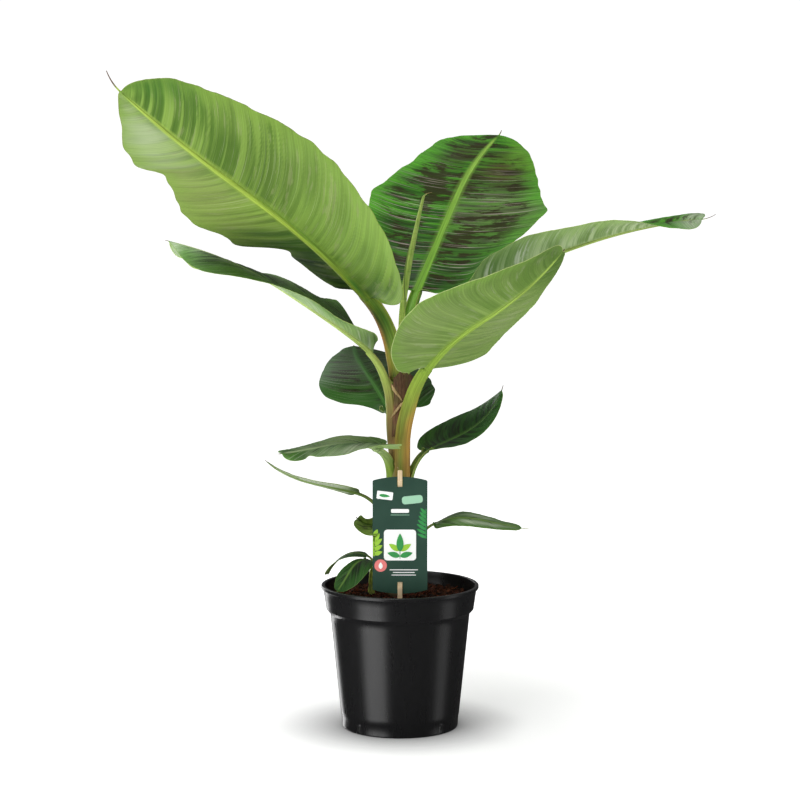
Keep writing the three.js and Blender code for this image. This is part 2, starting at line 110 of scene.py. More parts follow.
def thin_faces(rows, columns):
    """Faces of a closed sheet: a grid, the same grid again behind it, and the quads round its border."""
    count = rows * columns
    border = np.concatenate([
        np.arange(columns - 1),
        np.arange(rows - 1) * columns + columns - 1,
        (rows - 1) * columns + np.arange(columns - 1, 0, -1),
        np.arange(rows - 1, 0, -1) * columns,
    ])
    after = np.roll(border, -1)
    rim = np.stack([after, border, border + count, after + count], -1)
    return [grid_faces(rows, columns), grid_faces(rows, columns, count, flip=True), rim]


def make(name, points, faces, looks, node, which=None, data=None, sharp=None):
    """A piece from points in millimetres and lists of faces, riding on the plant.

    which: each face's material. data: attributes of the points. sharp: the angle from which edges are sharp.
    """
    faces = [np.asarray(f) for f in faces]
    mesh = bpy.data.meshes.new(name)
    mesh.vertices.add(len(points))
    mesh.vertices.foreach_set("co", (np.asarray(points) * MM).astype(np.float32).ravel())
    sizes = np.concatenate([np.full(len(f), f.shape[1]) for f in faces])
    loops = np.concatenate([f.ravel() for f in faces])
    mesh.loops.add(len(loops))
    mesh.loops.foreach_set("vertex_index", loops.astype(np.int32))
    mesh.polygons.add(len(sizes))
    mesh.polygons.foreach_set("loop_start", (np.cumsum(sizes) - sizes).astype(np.int32))
    for look in looks:
        mesh.materials.append(look)
    if which is not None:
        mesh.polygons.foreach_set("material_index", np.asarray(which, np.int32))
    mesh.update(calc_edges=True)
    for key, values in (data or {}).items():
        kind, field = ("FLOAT", "value") if np.ndim(values) == 1 else ("FLOAT_COLOR", "color")
        attribute = mesh.attributes.new(key, kind, "POINT")
        attribute.data.foreach_set(field, np.asarray(values, np.float32).ravel())
    mesh.validate()
    mesh.shade_smooth()
    if sharp is not None:
        mesh.set_sharp_from_angle(angle=math.radians(sharp))
    piece = bpy.data.objects.new(name, mesh)
    bpy.context.scene.collection.objects.link(piece)
    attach(piece, "root")
    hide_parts(node)
    return piece


def tube(name, rings, look, node, data=None, sharp=None):
    """A piece from rings of points one above the other, with a fan of faces over each end."""
    rings = np.asarray(rings)
    rows, sides = rings.shape[:2]
    points = np.vstack([rings.reshape(-1, 3), rings[0].mean(0), rings[-1].mean(0)])
    k = np.arange(sides)
    after = (k + 1) % sides
    last = (rows - 1) * sides
    low, high = np.full(sides, rows * sides), np.full(sides, rows * sides + 1)
    ends = np.vstack([np.stack([after, k, low], -1), np.stack([last + k, last + after, high], -1)])
    faces = [grid_faces(rows, sides, ring=True), ends]
    return make(name, points, faces, [look], node, data=data, sharp=sharp)


def turned(radius, height, angle, x=0.0):
    """Points round the upright axis through x."""
    return np.stack(np.broadcast_arrays(x + radius * np.cos(angle), radius * np.sin(angle), height), -1)


# ---- materials ----


class Look:
    """A material made of nodes, with short calls for the kinds that are used here."""

    def __init__(self, name, roughness=0.5, specular=0.5):
        self.material = bpy.data.materials.new(name)
        self.material.use_nodes = True
        self.tree = self.material.node_tree
        self.shader = self.tree.nodes["Principled BSDF"]
        self.shader.inputs["Roughness"].default_value = roughness
        self.shader.inputs["Specular IOR Level"].default_value = specular

    def feed(self, socket, value):
        """Links a socket to value, or sets it where value is a plain one."""
        if isinstance(value, bpy.types.NodeSocket):
            self.tree.links.new(value, socket)
        elif value is not None:
            socket.default_value = value

    def node(self, kind, *values, **settings):
        made = self.tree.nodes.new("ShaderNode" + kind)
        for key, value in settings.items():
            setattr(made, key, value)
        for socket, value in zip(made.inputs, values):
            self.feed(socket, value)
        return made

    def math(self, operation, *values):
        return self.node("Math", *values, operation=operation).outputs[0]

    def span(self, value, low, high, start=0.0, end=1.0):
        """value between low and high, smoothly brought to start and end."""
        made = self.node("MapRange", value, low, high, start, end, interpolation_type="SMOOTHSTEP")
        return made.outputs[0]

    def mix(self, share, a, b, blend="MIX"):
        made = self.node("Mix", share, data_type="RGBA", blend_type=blend)
        self.feed(made.inputs[6], a)
        self.feed(made.inputs[7], b)
        return made.outputs[2]

    def cover(self, colour, code, value, *span):
        """colour, covered by another in a span of value."""
        return self.mix(self.span(value, *span), colour, rgb(code))

    def times(self, colour, value):
        """colour made darker or lighter by a number."""
        return self.mix(1.0, colour, self.vector(value, value, value), "MULTIPLY")

    def read(self, name, output="Fac"):
        return self.node("Attribute", attribute_name=name).outputs[output]

    def grain(self, vector, scale=1.0, detail=2.0, rough=0.5, warp=0.0):
        made = self.node("TexNoise")
        for key, value in (("Vector", vector), ("Scale", scale), ("Detail", detail)):
            self.feed(made.inputs[key], value)
        made.inputs["Roughness"].default_value = rough
        made.inputs["Distortion"].default_value = warp
        return made.outputs[0]

    def vector(self, x, y, z=0.0):
        return self.node("CombineXYZ", x, y, z).outputs[0]

    def place(self, x=1.0, y=1.0, z=1.0):
        """The point in the piece's own space in millimetres, stretched."""
        made = self.node("Mapping", self.node("TexCoord").outputs["Object"])
        made.inputs["Scale"].default_value = (x / MM, y / MM, z / MM)
        return made.outputs[0]

    def height(self):
        return self.node("SeparateXYZ", self.place()).outputs[2]

    def bump(self, height, depth):
        made = self.node("Bump")
        made.inputs["Distance"].default_value = depth * MM
        self.feed(made.inputs["Height"], height)
        return made.outputs[0]

    def finish(self, colour=None, normal=None, roughness=None):
        for key, value in (("Base Color", colour), ("Normal", normal), ("Roughness", roughness)):
            self.feed(self.shader.inputs[key], value)
        return self.material


def plain_look(name, dark, light, scale, rough, stretch=(1, 1, 1), depth=0.1):
    """Two near tones in a stretched grain, with its relief."""
    look = Look(name, rough)
    grain = look.grain(look.place(*(scale * s for s in stretch)), 1.0, 3.0, 0.6)
    colour = look.mix(look.span(grain, 0.3, 0.7), rgb(dark), rgb(light))
    roughness = look.span(grain, 0.2, 0.8, rough - 0.06, rough + 0.06)
    return look.finish(colour, look.bump(grain, depth), roughness)


def leaf_look(
    name, deep, fresh, margin, fleck, flecks, bloom_and_sheen, bloom_and_sheen_amount, rough, gloss, edge, band, contrast, seed,
    cover=0.9, pleats=0.45,
):
    """One side of a leaf: veins that run out from the rib, flecks, and a rib and stalk of their own tone.

    deep, fresh: the two tones of the veins, which also paint shade into the pleats' troughs and light onto
    their
    crests. margin: the rim's tone, which fades out over band mm.
    edge: the tone of the very edge. fleck, bloom_and_sheen: dark patches and pale lines, each with its
    amount;
    the pale lines are partly a waxy coating and partly painted sheen.
    cover: how far a patch hides what is under it. contrast: depth of the fine lines.
    pleats: how much the painted shade and light of the pleats' troughs and crests stand out.
    """
    look = Look("leaf " + name, rough, gloss)
    along, out = look.read("along"), look.read("out")
    to_edge, rib, pleat_shade = look.read("to_edge"), look.read("rib"), look.read("pleat_shade")

    def streaks(across, beside, offset, detail=3.0, grit=0.6, warp=0.0):
        """Grain drawn out along the veins: across and beside are its cells per mm on and between them."""
        x, y = look.math("MULTIPLY", out, across), look.math("MULTIPLY", along, beside)
        return look.grain(look.vector(x, y, seed + offset), 1, detail, grit, warp)

    def around(value, amount, base):
        """base and a share of how far value is from its middle."""
        return look.math("MULTIPLY_ADD", look.math("SUBTRACT", value, 0.5), amount, base)

    veins = streaks(0.007, 0.34, 0, 4)
    lines = streaks(0.004, 1.0, 3, 2, 0.5)
    threadlike = streaks(0.009, 0.62, 5, 3, 0.6, 0.15)
    patches = streaks(0.024, 0.1, 7, 5, 0.68, 0.3)
    clouds = streaks(0.022, 0.017, 11, 2, 0.5)
    # painted shade and light: with the veins' grain, the pleats' troughs take the deep tone and their crests
    # the fresh one
    stripes = look.math("MULTIPLY_ADD", pleat_shade, pleats, veins)
    colour = look.mix(look.span(stripes, 0.25, 0.8), rgb(deep), rgb(fresh))
    colour = look.cover(colour, fresh, clouds, 0.35, 0.7, 0.0, 0.4)
    inside = look.span(around(patches, 40.0, to_edge), 2.0, band)
    colour = look.mix(look.math("MULTIPLY", look.math("SUBTRACT", 1.0, inside), 0.85), colour, rgb(margin))
    # painted light and shade: the tint_and_painted_light patches, partly the leaf's own tones and partly
    # painted shade, light and highlights
    tint_and_painted_light = look.node("Attribute", attribute_name="tint_and_painted_light")
    share = look.math("MULTIPLY", tint_and_painted_light.outputs["Alpha"], look.span(stripes, 0.1, 0.9, 1.1, 0.85))
    colour = look.mix(share, colour, tint_and_painted_light.outputs["Color"])
    level = around(clouds, 0.45, around(veins, 0.5, patches))
    mask = look.math("MULTIPLY", look.span(level, 0.6 - 0.2 * flecks, 0.67 - 0.2 * flecks), inside)
    colour = look.mix(look.math("MULTIPLY", mask, cover), colour, rgb(fleck))
    # pale lines, partly a waxy coating and partly painted sheen
    pale = look.math("MULTIPLY", look.span(threadlike, 0.57, 0.65), look.read("bloom_and_sheen"))
    colour = look.mix(look.math("MULTIPLY", pale, bloom_and_sheen_amount), colour, rgb(bloom_and_sheen))
    colour = look.times(colour, look.span(lines, 0.35, 0.65, 1 - contrast, 1 + 0.6 * contrast))
    fibres = look.vector(look.math("MULTIPLY", out, 1.3), look.math("MULTIPLY", along, 0.02), seed)
    threads = look.grain(fibres, 1, 3)
    tone = look.times(look.read("tone", "Color"), look.span(threads, 0.3, 0.7, 0.7, 1.18))
    colour = look.mix(rib, colour, tone)
    colour = look.cover(colour, edge, to_edge, 0.3, 0.9, 0.75, 0.0)
    height = look.math("MULTIPLY_ADD", veins, 0.6, look.math("MULTIPLY", lines, 0.4))
    normal = look.bump(look.mix(rib, height, threads), 0.35)
    return look.finish(colour, normal, look.span(veins, 0.2, 0.8, rough - 0.08, rough + 0.1))


# ---- leaves: the same rows as the part's source, in millimetres and degrees ----

# root: where the stalk starts. stalk, blade: lengths. stalkHalf: the stalk's half width at its ends.
# turn, rise: the heading about +Z from +X and above level, at the stalk's root and the blade's base,
# middle and tip. roll: the blade's turn about its rib. sweep: how far the veins lean to the tip.
# left, right: half widths from base to tip, lift from the rib, and curl added towards the edge.
LEAVES = [
    dict(
        name="leaf_upper_back",
        root=[3, 6, 352], stalk=127, stalkHalf=[9, 5.5], blade=310, tail=[9, 30],
        turn=[77, 62, 73, 60], rise=[96, 47, 31, 26], roll=[5, 5, 5], sweep=[-0.3, 0.2],
        left=dict(half=[80, 85, 90, 85, 75, 75], lift=[15, 5, -5], curl=[10, 0, -5]),
        right=dict(half=[60, 80, 105, 90, 65, 35], lift=[10, 5, -5], curl=[5, 0, -10]),
    ),
    dict(
        name="leaf_upper_right",
        root=[7, 4, 345], stalk=164, stalkHalf=[7, 4.5], blade=283, tail=[17, 25],
        turn=[24, 33, 10, -25], rise=[102, 16, 18, 7], roll=[-10, -10, 15], sweep=[0.2, 0.3],
        left=dict(half=[35, 40, 40, 35, 30], lift=[45, 30, 20], curl=[-15, -25, -35]),
        right=dict(half=[30, 40, 35, 45, 40], lift=[60, 40, 15], curl=[-5, -20, -45]),
    ),
    dict(
        name="leaf_upper_left",
        root=[-4, -4, 350], stalk=131, stalkHalf=[9, 7], blade=388, tail=[26, 30],
        turn=[249, 222, 226, 227], rise=[96, 40, 29, 34], roll=[15, 35, 40], sweep=[0.1, 0.5],
        left=dict(half=[110, 120, 115, 95, 70, 35], lift=[-15, -5, -5], curl=[-30, -15, -15]),
        right=dict(half=[35, 45, 85, 50, 45, 10], lift=[10, 10, 5], curl=[-5, 0, 0]),
    ),
    dict(
        name="leaf_back",
        root=[0, 12, 320], stalk=38, stalkHalf=[6, 4], blade=214, tail=[5, 0],
        turn=[133, 112, 101, 91], rise=[53, 29, 10, 5], roll=[-35, -10, 0], sweep=[-0.4, 0.5],
        left=dict(half=[15, 30, 55, 40, 20], lift=[-30, -15, -10], curl=[-70, -30, -10]),
        right=dict(half=[45, 70, 75, 70, 60], lift=[-15, -10, -10], curl=[-35, -20, -10]),
    ),
    dict(
        name="leaf_front_right",
        root=[5, -12, 312], stalk=96, stalkHalf=[8, 5.5], blade=235, tail=[4, 10],
        turn=[300, 300, 310, 342], rise=[85, 35, 26, 50], roll=[-10, -25, -25], sweep=[-0.1, 0.6],
        left=dict(half=[70, 65, 50, 35, 15], lift=[15, 20, 15], curl=[0, 10, 15]),
        right=dict(half=[35, 78, 90, 70, 38], lift=[-10, -5, -10], curl=[-30, -20, -25]),
    ),
    dict(
        name="leaf_middle_left",
        root=[-11, -4, 335], stalk=87, stalkHalf=[6, 4.5], blade=268, tail=[5, 0],
        turn=[232, 240, 186, 151], rise=[95, 29, 33, 10], roll=[5, -5, -10], sweep=[0.2, 0.2],
        left=dict(half=[25, 15, 35, 35, 5], lift=[45, 20, -15], curl=[-10, -20, -40]),
        right=dict(half=[65, 50, 55, 45, 25], lift=[55, 15, -35], curl=[5, -25, -75]),
    ),
    dict(
        name="leaf_lower_right",
        root=[13, 1, 253], stalk=59, stalkHalf=[4, 2.8], blade=128, tail=[7, 10],
        turn=[26, 61, 29, 6], rise=[111, 7, 23, 68], roll=[0, 25, 20], sweep=[-0.1, 0.5],
        left=dict(half=[12, 32, 34, 22, 6], lift=[5, 0], curl=[-15, -15]),
        right=dict(half=[30, 24, 18, 14, 6], lift=[15, 5], curl=[-5, -5]),
    ),
    dict(
        name="leaf_lower_left",
        root=[-9, -4, 248], stalk=71, stalkHalf=[6, 4.5], blade=120, tail=[4, 0],
        turn=[270, 218, 220, 207], rise=[111, 19, -3, -4], roll=[-10, -5, -15], sweep=[-1.3, 0.1],
        left=dict(half=[20, 34, 26, 14, 12], lift=[25, -15], curl=[5, -50]),
        right=dict(half=[46, 30, 28, 26, 24], lift=[10, -5], curl=[5, -20]),
    ),
    dict(
        name="leaf_narrow_left",
        root=[-13, 2, 214], stalk=57, stalkHalf=[2.4, 1.7], blade=112, tail=[4, 10],
        turn=[182, 226, 193, 168], rise=[80, 18, 15, 34], roll=[25, 15, 10], sweep=[-0.1, 0.5],
        left=dict(half=[6, 8, 11, 9], lift=[30, 10], curl=[0, -30]),
        right=dict(half=[9, 9, 9, 10], lift=[15, 5], curl=[-20, -35]),
    ),
    dict(
        name="leaf_bottom_right",
        root=[14, -2, 190], stalk=43, stalkHalf=[2.6, 1.8], blade=97, tail=[9, 10],
        turn=[0, -32, -9, 5], rise=[80, 25, -8, -11], roll=[5, 5, 0], sweep=[-0.1, 0.5],
        left=dict(half=[35, 22, 12, 6], lift=[5, 15], curl=[-10, 0]),
        right=dict(half=[12, 13, 11, 6], lift=[-25, -20], curl=[-10, 5]),
    ),
    dict(
        name="leaf_bottom_left",
        root=[-4, -2, 182], stalk=46, stalkHalf=[2.4, 1.8], blade=37, tail=[3, 0],
        turn=[195, 202, 200, 198], rise=[136, 13, 7, 47], roll=[-15, -35, -35], sweep=[-0.1, 0.4],
        left=dict(half=[17, 28, 34, 29], lift=[50, 30], curl=[-10, -30]),
        right=dict(half=[17, 11, 6, 6], lift=[60, 50], curl=[10, 10]),
    ),
    dict(
        name="shoot_leaf_broad",
        root=[-31, -3, 168.4], stalk=18, stalkHalf=[2.2, 1.6], blade=53, tail=[4, 0],
        turn=[222, 225, 217, 208], rise=[123, 11, -50, -49], roll=[-5, -10, -10], sweep=[-0.1, 0.2],
        left=dict(half=[15, 22, 19, 8], lift=[5, 5], curl=[-10, -20]),
        right=dict(half=[6, 8, 13, 7], lift=[5, 10], curl=[-10, 0]),
    ),
    dict(
        name="shoot_leaf_narrow",
        root=[-31, 3, 168.4], stalk=20, stalkHalf=[1.8, 1.4], blade=52, tail=[3, 0],
        turn=[175, 186, 185, 178], rise=[128, 24, -26, -65], roll=[-5, 0, 5], sweep=[-0.1, 0.5],
        left=dict(half=[6, 14, 14, 10], lift=[0, 15], curl=[-20, 5]),
        right=dict(half=[12, 7, 6, 6], lift=[5, 0], curl=[-5, -15]),
    ),
]
ROUND_BASE, ROUND_TIP = 0.1, 0.12  # shares of the blade that round off at its base and tip

# What scene.py adds to each leaf; PLAIN says what a leaf doesn't. A pair is (left, right), and distances
# from a leaf's middle are positive to the right.
# top, under: its two materials. tones: the stalk's colour at the sheath's foot, at the root and at its
# middle, and the rib's at the blade's base and tip.
# sheath: how far it runs down the stem, its radius there, and where it opens and has closed to a stalk,
# measured from the root. wrap: the share of the stem's girth round which each half reaches.
# wing: how far the stalk's raised edge stands past the rib. keel: how far the rib stands out below. Both
# are shares of the rib's half width. rib: that half width at the blade's base, as a share of the
# stalk's; rib_halves gives it in mm from base to tip instead.
# wave: height of the ripples at the edge. pleat: height of the pleats and strength of their painted shade
# and light, 1 as usual. lean: how far the veins run to the tip. grain: fineness of the pattern. hem:
# strength of the pale edge of stalk and sheath.
# bands: stripes along the stalk, as distance from the middle, spread and colour, and where the stripe
# begins and ends to fade; stain says that for those that don't, and None is round the blade's base.
# thread: colour of the dry thread at the tip.
# ruffles: side, place along the blade, spread, reach in mm, and curl in degrees of what sticks out of the
# edge. clouds: side, place along the blade and from rib to edge, spread of both, colour, and strength;
# the clouds are partly the leaf's own tones and partly painted light and shade: darker patches of painted
# shade, and paler patches of painted light and painted highlights. BLOOM_AND_SHEEN instead of a colour
# shows pale lines there, partly a waxy coating and partly painted sheen.
PLAIN = dict(
    wrap=(0.4, 0.4), wing=0.55, keel=0.72, pleat=1.0, lean=(0, 0), grain=1.0, hem=0.35, stain=None,
    thread="6a5648", bands=[], ruffles=[], clouds=[],
)
BLOOM_AND_SHEEN = "bloom_and_sheen"
DRESS = {
    "leaf_upper_back": dict(
        top="flecked", under="sage", tones=["7d8a3c", "7c983a", "6f9c35", "76a83a", "90ba4c"],
        sheath=[60, 6.5, 20, 60], rib_halves=[4.9, 3.4, 2.9, 2.3, 0.6], wave=2.2, grain=0.8,
        ruffles=[
            ("left", 0.5, 0.07, 8, 0), ("left", 0.72, 0.04, -5, 0), ("left", 0.86, 0.07, -3, 0),
            ("right", 0.47, 0.03, 5.5, 0), ("right", 0.435, 0.03, 6.5, 12), ("right", 0.17, 0.1, -4, 34),
            ("left", 0.95, 0.02, -4, 0),
        ],
        clouds=[
            ("both", 0.1, 0.6, 0.2, 0.9, "1c2c14", 0.7), ("right", 0.72, 0.5, 0.15, 0.4, "4c3c1c", 0.75),
            ("left", 0.84, 0.3, 0.1, 0.3, "3c401c", 0.7), ("right", 0.84, 0.85, 0.12, 0.3, "6c9a30", 0.6),
            ("right", 0.42, 0.5, 0.16, 0.7, "7a735c", 0.4), ("left", 0.8, 0.35, 0.1, 0.25, "38321a", 0.6),
            ("both", 0.4, 0.4, 0.3, 0.7, BLOOM_AND_SHEEN, 1.0), ("both", 0.1, 0.4, 0.15, 0.8, BLOOM_AND_SHEEN, 0.8),
        ],
    ),
    "leaf_upper_right": dict(
        top="flecked", under="pale", tones=["7d8a3c", "7c983a", "7c9a38", "90ac44", "a0b468"],
        sheath=[60, 6.5, 20, 60], rib=1.0, wave=1.8, ruffles=[("right", 0.9, 0.05, 4, 20)],
        clouds=[
            ("both", 0.12, 0.5, 0.24, 0.9, "557a34", 0.85), ("both", 0.97, 0.5, 0.07, 0.9, "a9bc98", 0.95),
            ("both", 0.45, 0.7, 0.2, 0.5, BLOOM_AND_SHEEN, 0.7),
        ],
    ),
    "leaf_upper_left": dict(
        top="flecked", under="bright", tones=["a8702c", "a8842f", "8fa436", "99b43c", "a4be4e"],
        sheath=[60, 7.5, 20, 60], rib=0.95, wave=2.4, lean=(0.5, 0.1), hem=1.0,
        bands=[(1, 3.2, "47702a"), (8, 5, "c4702c"), (-8, 4, "9fb043"), (-4.6, 2.2, "56862c", 240, 420)],
        ruffles=[
            ("right", 0.232, 0.037, -16, 0), ("right", 0.285, 0.045, 13, 0), ("right", 0.06, 0.05, -4, 0),
            ("right", 0.38, 0.09, -8, 0), ("right", 0.55, 0.08, 4, 0), ("right", 0.665, 0.03, -4, 0),
            ("right", 0.72, 0.04, 6, 0), ("right", 0.88, 0.06, -4, 0), ("left", 0.61, 0.05, 4, 0),
        ],
        # painted shade darkens the base of the right half and much of the left half, and a painted sheen
        # pales the right half near the tip
        clouds=[
            ("right", 0.25, 0.3, 0.12, 0.6, "3f6426", 0.95), ("right", 0.11, 0.7, 0.17, 0.9, "1c3a16", 0.95),
            ("right", 0.55, 0.6, 0.22, 0.6, "81914c", 0.75), ("left", 0.45, 0.5, 0.22, 0.6, "54702a", 0.75),
            ("right", 0.84, 0.45, 0.14, 0.5, "a3b487", 0.8), ("left", 0.25, 0.9, 0.3, 0.35, "86a84c", 0.7),
            ("left", 0.93, 0.75, 0.1, 0.4, "33661a", 0.7), ("left", 0.2, 0.3, 0.2, 0.4, "7fa04a", 0.5),
            ("left", 0.05, 0.4, 0.06, 0.4, "3a5f22", 0.6), ("both", 0.5, 0.3, 0.35, 0.5, BLOOM_AND_SHEEN, 0.7),
        ],
    ),
    "leaf_back": dict(
        top="dark_flecked", under="sage", tones=["7a6a3c", "5f6a34", "44662c", "3f6a2c", "3a6430"],
        sheath=[90, 9.6, -45, -5], rib=0.34, wrap=(0.2, 0.2), wave=1.5, lean=(1.6, 1.0), hem=0.0,
        clouds=[("both", 0.5, 0.5, 0.6, 0.9, BLOOM_AND_SHEEN, 1.0)],
    ),
    "leaf_front_right": dict(
        top="flecked", under="sage", tones=["8a6c3c", "9a843a", "8fa23c", "88a83c", "98b450"],
        sheath=[150, 10.8, 12, 42], rib=1.0, wrap=(0.4, 0.12), wave=1.6, pleat=0.8, hem=0.15, stain=(15, 70),
        bands=[(-4.5, 5.5, "c09440"), (-16, 9, "9c6a34"), (4.5, 3, "78903a")],
        clouds=[
            ("left", 0.4, 0.6, 0.4, 0.7, "84985c", 0.5), ("right", 0.35, 0.6, 0.3, 0.5, "869a5e", 0.5),
            ("left", 0.9, 0.6, 0.2, 0.8, "587a2e", 0.7), ("right", 0.8, 0.6, 0.2, 0.8, "5f8030", 0.5),
            ("both", 0.94, 0.5, 0.12, 0.9, "4f7228", 0.65),
        ],
    ),
    "leaf_middle_left": dict(
        top="fresh", under="pale", tones=["7a5a40", "94804a", "98ac50", "a4bc5c", "b0c08c"],
        sheath=[120, 9.0, 18, 48], rib=0.9, wave=1.8, wing=0.1, keel=0.35, hem=0.3, lean=(1.5, 1.5),
        bands=[(-14, 9, "7a5540"), (16, 9, "6a4a38"), (6, 2.5, "bcc878")],
        ruffles=[("right", 0.93, 0.03, -5, 0), ("left", 0.32, 0.15, -2.5, 0)],
        # painted light lifts the middle of the blade, where the leaf above shades it, and painted shade
        # darkens the lobe at its base
        clouds=[
            ("left", 0.62, 0.0, 0.3, 0.35, "b8c6a8", 0.95), ("both", 0.4, 0.6, 0.2, 0.9, "86a56a", 0.9),
            ("both", 0.04, 0.7, 0.09, 0.6, "3f5f2a", 0.8), ("both", 0.97, 0.6, 0.05, 0.9, "a9bc98", 0.9),
            ("both", 0.2, 0.6, 0.14, 0.9, BLOOM_AND_SHEEN, 0.9), ("left", 0.27, 0.9, 0.12, 0.35, "52783a", 0.8),
            ("both", 0.7, 0.6, 0.3, 0.9, BLOOM_AND_SHEEN, 0.5), ("both", 0.74, 0.6, 0.14, 0.9, "5c8440", 0.6),
        ],
    ),
    "leaf_lower_right": dict(
        top="dark", under="olive", tones=["8a7a44", "a0b450", "98b858", "4a6c30", "3a5a24"],
        sheath=[100, 11.6, -20, 12], rib=0.35, wrap=(0.3, 0.3), wave=0.8, lean=(0.5, 0.5),
    ),
    "leaf_lower_left": dict(
        top="fresh", under="pale", tones=["7a6a44", "8ca444", "8fae44", "a0b87c", "b0c494"],
        sheath=[100, 11.4, -4, 28], rib=0.5, wrap=(0.34, 0.34), wave=1.2, lean=(2.5, 2.5), grain=0.5,
        pleat=2.2,
        ruffles=[
            ("left", 0.13, 0.07, -4, 0), ("left", 0.36, 0.06, -3, 0), ("left", 0.6, 0.1, 3.5, 0),
            ("left", 0.78, 0.045, -4, 0),
        ],
        # the pale green patches are painted highlights on the twisted blade, and its pale lines are painted
        # sheen streaks
        clouds=[
            ("both", 0.5, 0.5, 0.6, 0.9, BLOOM_AND_SHEEN, 1.0), ("right", 0.36, 0.5, 0.25, 0.9, "9ab07c", 0.85),
            ("both", 0.72, 0.3, 0.12, 0.5, "8fa878", 0.7), ("left", 0.8, 0.6, 0.14, 0.7, "2c5a1a", 0.85),
            ("left", 0.5, 0.85, 0.22, 0.42, "a8b696", 0.95),
        ],
    ),
    "leaf_narrow_left": dict(
        top="fresh", under="olive", tones=["8a8a4a", "7c8a44", "6f8440", "6f8c44", "7c9450"],
        sheath=[64, 12.2, -12, 10], rib=0.9, wrap=(0.3, 0.3), wave=0.5, grain=0.6,
        clouds=[
            ("both", 0.45, 0.5, 0.6, 1.2, "a9b49c", 0.95), ("both", 0.97, 0.5, 0.1, 0.9, "33502a", 0.8),
            ("both", 0.06, 0.7, 0.08, 0.5, "2f4a24", 0.8),
        ],
    ),
    "leaf_bottom_right": dict(
        top="fresh", under="olive", tones=["8a8a4a", "8f9a4a", "88a044", "6f8c44", "88a85a"],
        sheath=[42, 12.6, -12, 10], rib=0.4, wrap=(0.3, 0.3), wave=0.7, lean=(2.0, 2.0), thread="aab474",
        grain=0.6, pleat=1.7,
        # painted highlight: a whitish patch along the middle of the blade, with painted sheen streaks in its
        # pale lines
        clouds=[("both", 0.5, 0.5, 0.6, 0.9, BLOOM_AND_SHEEN, 1.0), ("both", 0.55, 0.45, 0.3, 0.3, "c4d0b8", 0.8)],
    ),
    "leaf_bottom_left": dict(
        top="dark", under="olive", tones=["8a8a4a", "86904a", "7f9a4a", "6a8a40", "6a8a40"],
        sheath=[38, 12.7, -10, 10], rib=0.5, wrap=(0.3, 0.3), wave=0.5, lean=(0.6, 0.6),
        # painted light: a lighter green over the whole blade, which lies in shade behind the card
        ruffles=[("left", 0.5, 0.4, 7, 0)], clouds=[("both", 0.5, 0.5, 0.8, 0.9, "94b050", 0.9)],
    ),
    "shoot_leaf_broad": dict(
        top="dark", under="olive", tones=["dcea70", "d4e466", "98b04c", "4f7030", "5f8038"],
        sheath=[14, 1.6, 0, 8], rib=0.7, wave=0.4, lean=(1.5, 1.5),
        clouds=[("both", 0.5, 0.5, 0.6, 0.9, BLOOM_AND_SHEEN, 0.8)],
    ),
    "shoot_leaf_narrow": dict(
        top="dark", under="pale", tones=["dcea70", "d4e466", "98b04c", "7c9a48", "7c9a48"],
        sheath=[14, 1.6, 0, 8], rib=0.7, wave=0.4,
    ),
}
SHOOT_X = -31.0  # the side shoot stands this far to the left of the trunk

SHEATH, STALK, BLADE, TAIL = range(4)  # the zones of a leaf, from its foot to its tip
BIG_BLADE = 200  # a blade longer than this has wider steps along it and more columns across
FULL_BLADE = 250  # from this length on a blade's pleats and humps have their full height
PLEAT_HEIGHT, HUMP_HEIGHT = 0.55, 2.5
RIB_COLUMNS = np.array([0, 0.22, 0.44, 0.64, 0.8, 0.92, 1.0, 1.12])  # in half widths of the rib
RIB_TIP = 0.8  # the rib's half width at the tip
STALK_LIFT = 72.0  # how steeply a stalk's raised edges stand
SHEATH_THICKNESS, EDGE_THICKNESS, TAIL_THICKNESS = 1.1, 0.22, 0.3
GROOVE = 0.16  # depth of the groove along the rib's top, in half widths of the rib
HEM = "bda868"


def headings(turn, rise, roll):
    """The directions along a leaf, to its upper side and to its right."""
    a, i, r = np.radians(turn), np.radians(rise), np.radians(roll)
    along = np.stack([np.cos(i) * np.cos(a), np.cos(i) * np.sin(a), np.sin(i)], -1)
    up = np.stack([-np.sin(i) * np.cos(a), -np.sin(i) * np.sin(a), np.cos(i)], -1)
    across = np.cross(along, up)
    c, s = np.cos(r)[:, None], np.sin(r)[:, None]
    return along, c * up + s * across, c * across - s * up


def walk(start, length, heading, shares):
    """Places along a path whose heading varies with the share of its length."""
    middle = (shares[1:] + shares[:-1]) / 2
    steps = headings(*heading(middle))[0] * (np.diff(shares) * length)[:, None]
    return np.vstack([start, start + np.cumsum(steps, 0)])


def rounding(t):
    """The share of its half width that a blade has at t, as both ends are round."""
    base, tip = np.clip(t / ROUND_BASE, 0, 1), np.clip((1 - t) / ROUND_TIP, 0, 1)
    return np.sqrt(1 - (1 - base) ** 2) * np.sqrt(1 - (1 - tip) ** 2)


